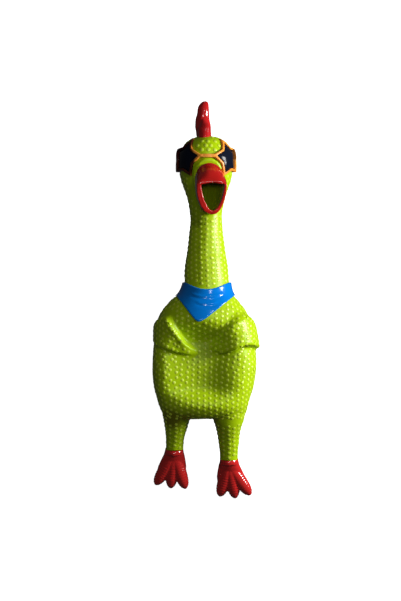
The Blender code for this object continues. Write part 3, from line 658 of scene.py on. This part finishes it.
def region(place):
    """The name of the skin piece that a point of the skin belongs to."""
    x, y, z = place
    if y > NOD_CUTS[1]:
        return "head_skin"
    if y > NOD_CUTS[0]:
        return "neck_top_skin"
    if y > BEND_CUTS[0]:
        return "neck_middle_skin"
    if y > SWAY_CUTS[0]:
        return "neck_base_skin"
    side = "left" if x < MID_LEGS else "right"
    if y < HIP_CUTS[side][0]:
        if y < PAINT_LINE[side]:
            return None
        return f"hip_{side}_skin" if y > HIP_CUTS[side][1] else f"shank_{side}_skin"
    (left, right), (low, high) = BELLY_OUTER
    if z < BELLY_LEVEL or not (left < x < right and low < y < high):
        return "body_skin"
    share_x = min(
        (x - left) / (BELLY_INNER[0][0] - left), (right - x) / (right - BELLY_INNER[0][1])
    )
    share_y = min((y - low) / (BELLY_INNER[1][0] - low), (high - y) / (high - BELLY_INNER[1][1]))
    if min(share_x, share_y) >= 1:
        return "belly_skin"
    if share_x < share_y:
        return "belly_left_skin" if x < DENT_X else "belly_right_skin"
    return "belly_low_skin" if y < (low + high) / 2 else "belly_high_skin"


def stud_form():
    """One stud about its own axis: points and faces of a closed dome with a flared foot."""
    rings = ((1.3, STUD_SUNK), (1.0, 0.15), (0.70, 0.62), (0.36, 0.90))
    count = 8
    points = []
    for share, height in rings:
        for k in range(count):
            turn = 2 * math.pi * k / count
            points.append((share * math.cos(turn), share * math.sin(turn), height))
    points.append((0.0, 0.0, 1.0))
    points.append((0.0, 0.0, STUD_SUNK))
    faces = tube_faces(len(rings), count)
    last = (len(rings) - 1) * count
    for j in range(count):
        k = (j + 1) % count
        faces.append((last + j, last + k, len(points) - 2))
        faces.append((k, j, len(points) - 1))
    return np.array(points), faces


def stud_ring(tree, centre, axis, reach, row, found):
    """Adds the studs of one row: hits round a centre line, spaced along the skin from its front."""
    side = Vector((1, 0, 0)) - axis * axis.x
    side.normalize()
    front = side.cross(axis)
    if front.z < 0:
        front = -front
    for way in (1, -1):
        travelled = 0.0
        wanted = STUD_COLUMN if row % 2 else (0.0 if way == 1 else 2 * STUD_COLUMN)
        wanted += 0.5 * noise.noise(Vector((row * 1.7, way, 0.5)))
        before = None
        for degrees in range(181):
            turn = math.radians(degrees) * way
            out = front * math.cos(turn) + side * math.sin(turn)
            hit, normal, _, _ = tree.ray_cast(centre + out * reach, -out, reach)
            if hit is None:
                before = None
                continue
            if before is not None:
                travelled += (hit - before).length
            before = hit
            if travelled >= wanted:
                found.append((hit, normal))
                wanted += 2 * STUD_COLUMN * (1 + 0.12 * noise.noise(hit / 3.0))


def stud_places(tree, covers):
    """Where the studs sit: staggered rows over the whole skin, kept clear of the painted parts."""
    found = []
    row = 0
    y, last = STUD_SPAN
    while y > last:
        if y > HEAD.y - 36.0:
            half_x, half_z = smooth_row(SKULL, y - HEAD.y)
            lower = smooth_row(SKULL, y - HEAD.y - 1.0)
            centre = Vector((HEAD.x, y, HEAD.z + 1.0))
            slope = (half_z - lower[1] + half_x - lower[0]) / 2
        else:
            values = smooth_row(TORSO, y)
            lower = smooth_row(TORSO, y - 1.0)
            slope = (values[3] - lower[3] + values[1] - lower[1]) / 2
            centre = Vector((values[0] + 0.5, y, 25.0))
            if y > 30.0:
                values = smooth_row(NECK, y)
                slope = 0.0
                centre = Vector((values[0], y, values[1]))
        stud_ring(tree, centre, HEADWARD, 60.0, row, found)
        y -= STUD_ROW / math.sqrt(1 + min(slope * slope, 4.0))
        row += 1
    for side in ("left", "right"):
        axis = (ANKLE[side] - HIP[side]).normalized()
        down = -4.0
        end = (ANKLE[side] - HIP[side]).length
        while down < end:
            centre = HIP[side] + axis * down
            stud_ring(tree, centre, axis, 16.0, row, found)
            down += STUD_ROW
            row += 1
    kept = []
    for place, normal in found:
        gap = min(cover.find_nearest(place)[3] for cover in covers)
        if gap < STUD_CLEAR or place.z < 0.4:
            continue
        if on_face(place) or on_forehead(place) or on_ridge(place):
            continue
        if any(cover.ray_cast(place, normal, 6.0)[0] for cover in covers):
            continue
        kept.append((place, normal, STUD_RADIUS))
    across, along = FOREHEAD_GRID
    for row in range(4):
        for column in range(-2, 3):
            x = across * (column + 0.5 * (row % 2)) + 0.6 * math.sin(row * 5.0 + column * 3.0)
            start = HEAD_PLACE @ Vector((x, FOREHEAD_LOW + along * row, 40.0))
            hit, normal, _, _ = tree.ray_cast(start, Vector((0, 0, -1)))
            if hit and min(cover.find_nearest(hit)[3] for cover in covers) > 1.8:
                kept.append((hit, normal, FOREHEAD_STUD))
    return kept


def on_ridge(place):
    """True on the smooth ridge along the left wing's upper edge."""
    centre_x, half_x, _, _, square = smooth_row(TORSO, place.y)
    share = min(max((centre_x - place.x) / half_x, 0.0), 1.0)
    angle = math.degrees(math.acos(share ** (square / 2)))
    top, _, _ = smooth_row(WINGS["left"], angle)
    return place.x < -6.0 and 24.0 < angle < 83.0 and top - 5.5 < place.y < top + 1.2


def on_forehead(place):
    """True on the patch of skin between the two stars, which has its own, larger studs."""
    _, y, z = HEAD_PLACE.inverted() @ place
    return z > 6.0 and y > 6.0


def on_face(place):
    """True on the smooth band of skin round the beak and under the spectacles' bridge."""
    x, y, z = HEAD_PLACE.inverted() @ place
    if z < 4.0 or y > 8.0:
        return False
    across = (x - FACE_MIDDLE[0]) / FACE_SIZE[0]
    return math.hypot(across, (y - FACE_MIDDLE[1]) / FACE_SIZE[1]) < 1.0


def mouth_hole(points, faces):
    """The head's skin without the faces that lie inside the beak's root."""
    _, top, _, bottom = smooth_row(MUZZLE, MOUTH_AT)
    inverse = HEAD_PLACE.inverted()
    local = np.array([inverse @ Vector(p) for p in points])
    across = (local[:, 0] - MUZZLE_X) / MOUTH_SIZE[0]
    up = (local[:, 1] - (top + bottom) / 2) / MOUTH_SIZE[1]
    inside = (np.hypot(across, up) < 1.0) & (local[:, 2] > 5.0)
    return [face for face in faces if not all(inside[k] for k in face)]


def skin_piece(name, points, normals, faces, studs, paints):
    """One closed piece of skin: outer face, inner face, the walls at its cuts, and its studs."""
    used = sorted({k for face in faces for k in face})
    renamed = {k: i for i, k in enumerate(used)}
    outer = points[used]
    outward = normals[used]
    faces = [tuple(renamed[k] for k in face) for face in faces]
    count = len(used)
    inner_faces = [tuple(k + count for k in face[::-1]) for face in faces]
    once = {}
    for face in faces:
        for a, b in zip(face, face[1:] + face[:1]):
            if (b, a) in once:
                del once[(b, a)]
            else:
                once[(a, b)] = True
    walls = [(b, a, a + count, b + count) for a, b in once]
    everything = [outer, outer - outward * SKIN]
    all_faces = faces + inner_faces + walls
    form, form_faces = stud_form()
    total = 2 * count
    for place, normal, radius in studs:
        frame = Vector(normal).to_track_quat("Z", "Y").to_matrix()
        sized = form * np.array((radius, radius, STUD_HEIGHT))
        everything.append(sized @ np.array(frame).T + np.array(place))
        all_faces += [tuple(k + total for k in face) for face in form_faces]
        total += len(form)
    made = bare_object(name, np.concatenate(everything), all_faces)
    mesh = made.data
    for paint in paints:
        mesh.materials.append(paint)
    mesh.shade_smooth()
    first_stud = 2 * len(faces) + len(walls)
    # Each stud's top takes the second paint: a painted highlight.
    for start in range(first_stud, len(mesh.polygons), len(form_faces)):
        for k in STUD_HIGHLIGHT_FACES:
            mesh.polygons[start + k].material_index = 1
    first_wall = 2 * len(faces)
    for k in range(first_wall, first_wall + len(walls)):
        mesh.polygons[k].use_smooth = False
    given = np.zeros((len(mesh.loops), 3))
    order = np.empty(len(mesh.loops), dtype=int)
    mesh.loops.foreach_get("vertex_index", order)
    outer_loops = sum(len(face) for face in faces)
    given[:outer_loops] = outward[order[:outer_loops]]
    given[outer_loops : 2 * outer_loops] = -outward[order[outer_loops : 2 * outer_loops] - count]
    mesh.normals_split_custom_set(given.tolist())
    return made


# Painted parts.


def comb_form():
    """Three fleshy lobes, the middle one tallest and curling at its tip."""
    # Each lobe: z, rows of height, x, half width and half depth, and the place of its tip.
    lobes = (
        (
            0.0,
            (
                (17.0, -1.4, 5.2, 7.2), (22.5, -1.6, 5.5, 7.4), (26.0, -1.9, 5.9, 7.2),
                (30.5, -2.2, 6.1, 6.6), (37.2, -2.6, 5.2, 5.4), (44.0, -2.2, 4.5, 4.4),
                (47.8, -1.3, 3.6, 3.4), (49.6, -0.5, 2.4, 2.3),
            ),
            (0.0, 50.6, -0.8),
        ),
        (
            7.0,
            ((14.0, -1.4, 4.4, 6.0), (22.0, -1.6, 4.8, 5.6), (29.0, -1.9, 4.4, 4.0)),
            (-1.8, 38.5, 4.0),
        ),
        (
            -9.0,
            ((12.0, -1.4, 4.4, 6.4), (22.0, -1.6, 4.6, 6.0), (31.0, -1.9, 4.0, 4.2)),
            (-1.8, 36.4, -10.5),
        ),
    )
    parts = []
    for depth, rows, tip in lobes:
        rings = []
        for at in steps(rows[0][0], rows[-1][0], 1.5):
            x, half_x, half_z = smooth_row(rows, at)
            centre = Vector((x, at, depth))
            rings.append(circle(centre, HEADWARD, half_x, 28, half_z / half_x))
        parts.append(loft(rings, (middle(rings[0]), Vector(tip)), HEAD_PLACE))
    points, faces = fused(parts, 0.6, 14)
    normals = vertex_normals(points, faces)
    points = wobble(points, normals, 6.0, 0.7, 4)
    return points, faces


def beak_form():
    """The gaping beak: a thin egg-shaped tube with a bead along its lower lip."""

    def surface(u, v, height):
        turn = 2 * math.pi * u
        z = BEAK_ROOT + v * (BEAK_LIP - BEAK_ROOT)
        lip = LIP_BEAD * step_up(z, *LIP_RISE) * step_up(-math.sin(turn), -0.3, 0.3)
        inset = -height + (lip if height < 0 else -0.3 * lip)
        return muzzle_point(turn, z, inset)

    tube = plate(surface, 96, 24, (-BEAK_WALL, 0.0), wrap=True, place=HEAD_PLACE)
    points, faces = fused([tube], 0.55, 4)
    normals = vertex_normals(points, faces)
    return wobble(points, normals, 7.0, 0.35, 6), faces


def foot_form(side):
    """Ankle, web and three plump ridged toes."""
    outward = -1 if side == "left" else 1
    ankle = ANKLE[side]
    axis = (ANKLE[side] - HIP[side]).normalized()
    top = (PAINT_LINE[side] - ankle.y) / axis.y
    rings = []
    for down, radius in ((top - 1.8, 6.2), (top - 0.3, 7.2), (top * 0.6, 7.5)):
        rings.append(circle(ankle + axis * down, axis, radius, 40))
    for ahead, drop, half_x, half_z in WEB:
        centre = ankle + Vector((outward * ahead * WEB_LEAN, -ahead, -drop))
        rings.append(circle(centre, -HEADWARD, half_x, 40, half_z / half_x))
    parts = [loft(rings)]
    for lean, reach in TOES[side]:
        turn = math.radians(lean)
        way = Vector((outward * math.sin(turn), -math.cos(turn), 0))
        toe = []
        for share in steps(0.0, 0.97, 0.01):
            radius, height = smooth_row(TOE, share)
            rib = TOE_RIB * math.sin(share * reach * 2 * math.pi / TOE_RIBS_APART)
            centre = Vector((ankle.x, ankle.y, height)) + way * reach * share
            toe.append(circle(centre, way, radius + rib * step_up(share, 0.3, 0.45), 24))
        tip = Vector((ankle.x, ankle.y, TOE_TIP)) + way * reach
        parts.append(loft(toe, (middle(toe[0]), tip)))
    points, faces = fused(parts, 0.5, 2)
    points[:, 2] = np.maximum(points[:, 2], SOLE)
    return points, faces


def bandana_hem(turn):
    """The neckerchief's lower edge: level behind, and coming to a point in front."""
    y = 0.0
    for _ in range(10):
        away = torso_point(turn, y).x - BANDANA_TIP.x
        slope = BANDANA_SLOPES[0] if away > 0 else BANDANA_SLOPES[1]
        point = BANDANA_TIP.y + math.hypot(slope * away, BANDANA_ROUND) - BANDANA_ROUND
        y = (y + point) / 2
    return BANDANA_HEM if math.sin(turn) < 0 else min(BANDANA_HEM, y)


def bandana_form():
    """The neckerchief, with shallow folds that sag between its two shoulders."""
    count = 220
    hems = [bandana_hem(2 * math.pi * k / count) for k in range(count)]

    def surface(u, v, height):
        turn = 2 * math.pi * u
        front = max(math.sin(turn), 0.0)
        top = BANDANA_TOP - BANDANA_SAG * front**3
        low = hems[round(u * count) % count]
        y = low + v * (top - low)
        if height > 0:
            x = torso_point(turn, y).x
            for lowest, width in FOLDS:
                above = y - (lowest + FOLD_SAG * (x - 1.5) ** 2)
                fade = step_up(width - abs(x - 1.0), 0.0, 4.0) * (front > 0)
                height += FOLD_RIDGE[0] * fade * math.exp(-((above / FOLD_RIDGE[1]) ** 2))
                groove = (above + FOLD_STEP) / FOLD_GROOVE[1]
                height -= FOLD_GROOVE[0] * fade * math.exp(-(groove**2))
        return torso_point(turn, y, height)

    return fused([plate(surface, count, 36, BANDANA_FACES, wrap=True)], 0.55, 4)


def star_edge(share, reach):
    """A point of a fat five-pointed star, one of whose points aims at the nose."""
    corner = share * 10
    low, part = int(corner) % 10, corner - int(corner)
    ends = []
    for k in (low, low + 1):
        radius = reach * (1.0 if k % 2 == 0 else STAR_WAIST)
        turn = math.pi + STAR_LEAN + math.pi * k / 5
        ends.append((radius * math.cos(turn), radius * math.sin(turn)))
    (x0, y0), (x1, y1) = ends
    return x0 + part * (x1 - x0), y0 + part * (y1 - y0)


def on_skull(side, across, up, height):
    turn = side * (STAR_TURN + across / STAR_SPREAD)
    return skull_point(turn, min(STAR_HEIGHT + up, STAR_CEILING), height)


def glasses_form():
    """Two raised star rims, the bridge between them and the two side arms."""
    parts = []
    for side in (1, -1):

        def rim(u, v, height):
            reach = STAR_IN + v * (STAR_OUT - STAR_IN)
            across, up = star_edge(u, reach)
            flare = STAR_FLARE * step_up(across, 3.0, 14.0) if height > 0 else 0.0
            return on_skull(side, across, up, height + flare)

        def arm(u, v, height):
            turn = side * math.radians(ARM_TURNS[0] + ARM_TURNS[1] * u)
            return skull_point(turn, ARM_LOW + ARM_WIDTH * v - ARM_DROP * u, height)

        parts.append(plate(rim, 120, 6, (SUNK, RIM_HEIGHT), True, HEAD_PLACE))
        parts.append(plate(arm, 24, 5, (SUNK, ARM_HEIGHT), False, HEAD_PLACE))

    def bridge(u, v, height):
        return skull_point(BRIDGE_TURN * (2 * u - 1), BRIDGE_LOW + BRIDGE_WIDTH * v, height)

    parts.append(plate(bridge, 30, 5, (SUNK, BRIDGE_HEIGHT), False, HEAD_PLACE))
    return fused(parts, 0.5, 3)


def lens_form(side):
    """A dark star lens, slightly domed between its rims."""
    rings = []
    for reach, dome in ((1.0, 0.9), (0.86, 1.15), (0.66, 1.4), (0.44, 1.55), (0.2, 1.65)):
        edge = [star_edge(k / 60, (STAR_IN + LENS_LAP) * reach) for k in range(60)]
        rings.append([on_skull(side, x, y, dome) for x, y in edge])
    edge = [star_edge(k / 60, STAR_IN + LENS_LAP) for k in range(60)]
    back = [[on_skull(side, x * s, y * s, LENS_BACK) for x, y in edge] for s in (0.4, 1.0)]
    tips = (on_skull(side, 0, 0, LENS_BACK), on_skull(side, 0, 0, 1.7))
    return loft(back + rings, tips, HEAD_PLACE)


# Materials.


def add_node(tree, kind, **values):
    node = tree.nodes.new(kind)
    for name, value in values.items():
        if name in node.inputs:
            node.inputs[name].default_value = value
        else:
            setattr(node, name, value)
    return node


def vinyl(name, colour, shade, roughness, grain=0.12, coat=0.0, mottle=0.5, shine=0.5):
    """Painted or coloured vinyl: uneven colour, slightly orange-peeled gloss, fine scuffs."""
    made = bpy.data.materials.new(name)
    made.use_nodes = True
    tree = made.node_tree
    shader = tree.nodes["Principled BSDF"]
    gloss = {"IOR": 1.5, "Specular IOR Level": shine, "Coat Weight": coat, "Coat Roughness": 0.12}
    for socket, value in gloss.items():
        shader.inputs[socket].default_value = value
    place = add_node(tree, "ShaderNodeTexCoord")
    slow = add_node(tree, "ShaderNodeTexNoise", Scale=55.0, Detail=3.0)
    fine = add_node(tree, "ShaderNodeTexNoise", Scale=900.0, Detail=2.0)
    for texture in (slow, fine):
        tree.links.new(place.outputs["Object"], texture.inputs["Vector"])
    tint = add_node(tree, "ShaderNodeMix", data_type="RGBA")
    tint.inputs["A"].default_value = (*colour, 1)
    tint.inputs["B"].default_value = (*shade, 1)
    spread = {"From Min": 0.35, "From Max": 0.75, "To Max": mottle}
    ramp = add_node(tree, "ShaderNodeMapRange", **spread)
    tree.links.new(slow.outputs["Fac"], ramp.inputs["Value"])
    tree.links.new(ramp.outputs["Result"], tint.inputs["Factor"])
    tree.links.new(tint.outputs["Result"], shader.inputs["Base Color"])
    spread = {"To Min": roughness - 0.07, "To Max": roughness + 0.10}
    rough = add_node(tree, "ShaderNodeMapRange", **spread)
    tree.links.new(slow.outputs["Fac"], rough.inputs["Value"])
    tree.links.new(rough.outputs["Result"], shader.inputs["Roughness"])
    bump = add_node(tree, "ShaderNodeBump", Strength=grain, Distance=0.0002)
    tree.links.new(fine.outputs["Fac"], bump.inputs["Height"])
    tree.links.new(bump.outputs["Normal"], shader.inputs["Normal"])
    return made


def mix_in_spots(made, colour, solid, spots):
    """Mixes a colour in round some places, in full within the solid share of its reach."""
    tree = made.node_tree
    shader = tree.nodes["Principled BSDF"]
    place = add_node(tree, "ShaderNodeTexCoord")
    tint = shader.inputs["Base Color"].links[0].from_socket
    for centre, reach, strength in spots:
        away = add_node(tree, "ShaderNodeVectorMath", operation="DISTANCE")
        away.inputs[1].default_value = Vector(centre) * MM
        tree.links.new(place.outputs["Object"], away.inputs[0])
        full = reach * MM
        spread = {"From Min": full * solid, "From Max": full, "To Min": strength, "To Max": 0.0}
        fade = add_node(tree, "ShaderNodeMapRange", interpolation_type="SMOOTHSTEP", **spread)
        tree.links.new(away.outputs["Value"], fade.inputs["Value"])
        mix = add_node(tree, "ShaderNodeMix", data_type="RGBA")
        mix.inputs["B"].default_value = (*colour, 1)
        tree.links.new(tint, mix.inputs["A"])
        tree.links.new(fade.outputs["Result"], mix.inputs["Factor"])
        tint = mix.outputs["Result"]
    tree.links.new(tint, shader.inputs["Base Color"])


def materials():
    """Every paint: its colour, the shade it is mottled with, its roughness, grain and gloss."""
    green = vinyl("green_vinyl", (0.385, 0.575, 0.002), (0.32, 0.48, 0.002), 0.32, shine=0.22)
    # Darker brown round the crotch.
    mix_in_spots(
        green,
        (0.10, 0.055, 0.004),
        0.3,
        (
            ((-26.0, -92.0, 34.0), 14.0, 0.75),
            ((-12.0, -89.0, 36.0), 9.0, 0.5),
            ((8.0, -95.0, 30.0), 9.0, 0.5),
        ),
    )
    orange = vinyl("orange_paint", (0.80, 0.26, 0.03), (0.85, 0.42, 0.05), 0.30, 0.15, shine=0.3)
    # Near-black round the left rim is painted shade on the side away from the key light; the smaller
    # spot on the right rim is dark maroon paint.
    mix_in_spots(
        orange,
        (0.045, 0.004, 0.003),
        0.85,
        (
            ((-22.0, 107.0, 38.0), 17.5, 0.97),
            ((-22.0, 122.0, 34.0), 15.0, 0.97),
            ((29.0, 115.0, 24.0), 10.0, 0.75),
        ),
    )
    comb = vinyl("comb_paint", (0.50, 0.012, 0.012), (0.30, 0.006, 0.007), 0.15, 0.2, 0.4, 0.9)
    beak = vinyl("beak_paint", (0.56, 0.014, 0.010), (0.42, 0.008, 0.007), 0.17, 0.2, 0.35, 0.8)
    lens = vinyl(
        "lens_paint", (0.004, 0.006, 0.014), (0.008, 0.010, 0.02), 0.11, 0.03, shine=0.1
    )
    return {
        "green": green,
        "orange": orange,
        "comb": comb,
        "beak": beak,
        "lens": lens,
        # The studs' tops are painted paler and yellower: a painted highlight on every stud.
        "tips": vinyl("stud_painted_highlight", (0.55, 0.70, 0.05), (0.46, 0.60, 0.03), 0.28),
        "red": vinyl("red_paint", (0.56, 0.018, 0.016), (0.42, 0.012, 0.011), 0.17, 0.2, 0.5),
        "blue": vinyl("blue_paint", (0.0, 0.18, 0.64), (0.0, 0.14, 0.52), 0.15, 0.1, 0.25, shine=0.2),
        "plastic": vinyl("squawker_plastic", (0.75, 0.75, 0.70), (0.66, 0.66, 0.60), 0.4, 0.1),
        "film": vinyl("reed_film", (0.80, 0.78, 0.66), (0.70, 0.66, 0.52), 0.22, 0.05),
    }


# Assembly.


def tree_of(points, faces):
    return BVHTree.FromPolygons([Vector(p) for p in points], [tuple(f) for f in faces])


def build_skin(paints, covers):
    points, faces = skin_form()
    tree = tree_of(points, faces)
    studs = {}
    for place, normal, radius in stud_places(tree, covers):
        studs.setdefault(region(place), []).append((place, normal, radius))
    points, normals, polygons = cut_skin(points, faces)
    grouped = {}
    for face in polygons:
        name = region(points[list(face)].mean(axis=0))
        grouped.setdefault(name, []).append(face)
    grouped.pop(None, None)
    grouped["head_skin"] = mouth_hole(points, grouped["head_skin"])
    return {
        name: skin_piece(name, points, normals, group, studs.get(name, []), paints)
        for name, group in grouped.items()
    }


def bend(piece):
    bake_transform(piece)


def attach_skin(pieces):
    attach(pieces["body_skin"], "torso")
    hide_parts("torso_shell", "wing_left", "wing_right")
    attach(pieces["belly_skin"], "belly")
    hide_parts("belly_panel")
    (left, right), (low, high) = BELLY_OUTER
    (inner_left, inner_right), (inner_low, inner_high) = BELLY_INNER
    for name, axis, start, end in (
        ("belly_left_skin", 0, left, inner_left),
        ("belly_right_skin", 0, right, inner_right),
        ("belly_low_skin", 1, low, inner_low),
        ("belly_high_skin", 1, high, inner_high),
    ):
        places = [[0.0, 0.0, 0.0], [0.0, 0.0, 0.0]]
        places[0][axis] = start * MM
        places[1][axis] = end * MM
        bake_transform(pieces[name])
    bend(pieces["neck_base_skin"])
    bend(pieces["neck_middle_skin"])
    bend(pieces["neck_top_skin"])
    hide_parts("neck_root")
    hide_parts("neck")
    pieces["head_skin"].visible_glossy = False
    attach(pieces["head_skin"], "head")
    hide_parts("head_shell")
    for side in ("left", "right"):
        bend(pieces[f"hip_{side}_skin"])
        bend(pieces[f"shank_{side}_skin"])
        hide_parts(f"leg_{side}")


def painted_part(name, form, paint, slot, body, *nodes):
    made = smooth_object(name, *form, paint)
    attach(made, body)
    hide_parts(*nodes)
    return made


def light(name, place, size, power):
    data = bpy.data.lights.new(name, "AREA")
    data.shape = "DISK"
    data.size = size
    data.energy = power
    made = bpy.data.objects.new(name, data)
    bpy.context.scene.collection.objects.link(made)
    made.location = place
    made.rotation_euler = (LIT_POINT - Vector(place)).to_track_quat("-Z", "Y").to_euler()


def studio():
    """A camera straight above, hard light from the right, and a white floor that lights nothing."""
    data = bpy.data.cameras.new("camera")
    data.sensor_fit = "VERTICAL"
    data.sensor_height = SENSOR
    data.lens = SENSOR * (CAMERA_HEIGHT - HEAD.z * MM) / FRAME_HEIGHT
    camera = bpy.data.objects.new("camera", data)
    bpy.context.scene.collection.objects.link(camera)
    camera.location = (CAMERA_X, 0.0, CAMERA_HEIGHT)
    bpy.context.scene.camera = camera
    for row in LIGHTS:
        light(*row)

    world = bpy.data.worlds.new("world")
    world.use_nodes = True
    background = world.node_tree.nodes["Background"]
    background.inputs["Color"].default_value = (1, 1, 1, 1)
    background.inputs["Strength"].default_value = SKY
    bpy.context.scene.world = world
    bpy.context.scene.view_settings.view_transform = "Standard"

    signs = ((-1, -1), (1, -1), (1, 1), (-1, 1))
    corners = [(x * FLOOR_HALF, y * FLOOR_HALF, FLOOR_LEVEL) for x, y in signs]
    floor = bare_object("floor", corners, [(0, 1, 2, 3)])
    white = bpy.data.materials.new("floor_white")
    white.use_nodes = True
    shader = white.node_tree.nodes["Principled BSDF"]
    shader.inputs["Base Color"].default_value = (0.8, 0.8, 0.8, 1)
    shader.inputs["Emission Color"].default_value = (1, 1, 1, 1)
    shader.inputs["Emission Strength"].default_value = 1.0
    floor.data.materials.append(white)
    floor.visible_diffuse = False
    floor.visible_glossy = False


def main():
    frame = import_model()
    paints = materials()

    forms = {
        "comb": comb_form(),
        "beak": beak_form(),
        "spectacles": glasses_form(),
        "neckerchief": bandana_form(),
        "toes_left": foot_form("left"),
        "toes_right": foot_form("right"),
        "lens_left": lens_form(-1),
        "lens_right": lens_form(1),
    }
    covers = [tree_of(*form) for form in forms.values()]
    # The skin's second paint is the studs' painted highlight.
    attach_skin(build_skin((paints["green"], paints["tips"]), covers))

    red, orange, lens = paints["red"], paints["orange"], paints["lens"]
    beak, beak_nodes = forms["beak"], ("upper_beak", "lower_beak")
    painted_part("comb_paint", forms["comb"], paints["comb"], "red_paint", "head", "comb")
    painted_part("beak_paint", beak, paints["beak"], "red_paint", "head", *beak_nodes)
    painted_part("rims_paint", forms["spectacles"], orange, "orange_paint", "head", "glasses_frame")
    painted_part("scarf_paint", forms["neckerchief"], paints["blue"], "blue_paint", "torso", "bandana")
    for side in ("left", "right"):
        foot = f"foot_{side}"
        painted_part(f"{foot}_paint", forms[f"toes_{side}"], red, "red_paint", foot, foot)
        name = f"lens_{side}"
        painted_part(f"{name}_paint", forms[name], lens, "lens_paint", "head", name)
    for node in ("squawk_barrel", "throat_grille", "reed_carrier", "tone_trough", "reed_wedge"):
        frame["nodes"][node].data.materials.clear()
        frame["nodes"][node].data.materials.append(paints["plastic"])
    frame["nodes"]["reed"].data.materials.clear()
    frame["nodes"]["reed"].data.materials.append(paints["film"])

    studio()


main()
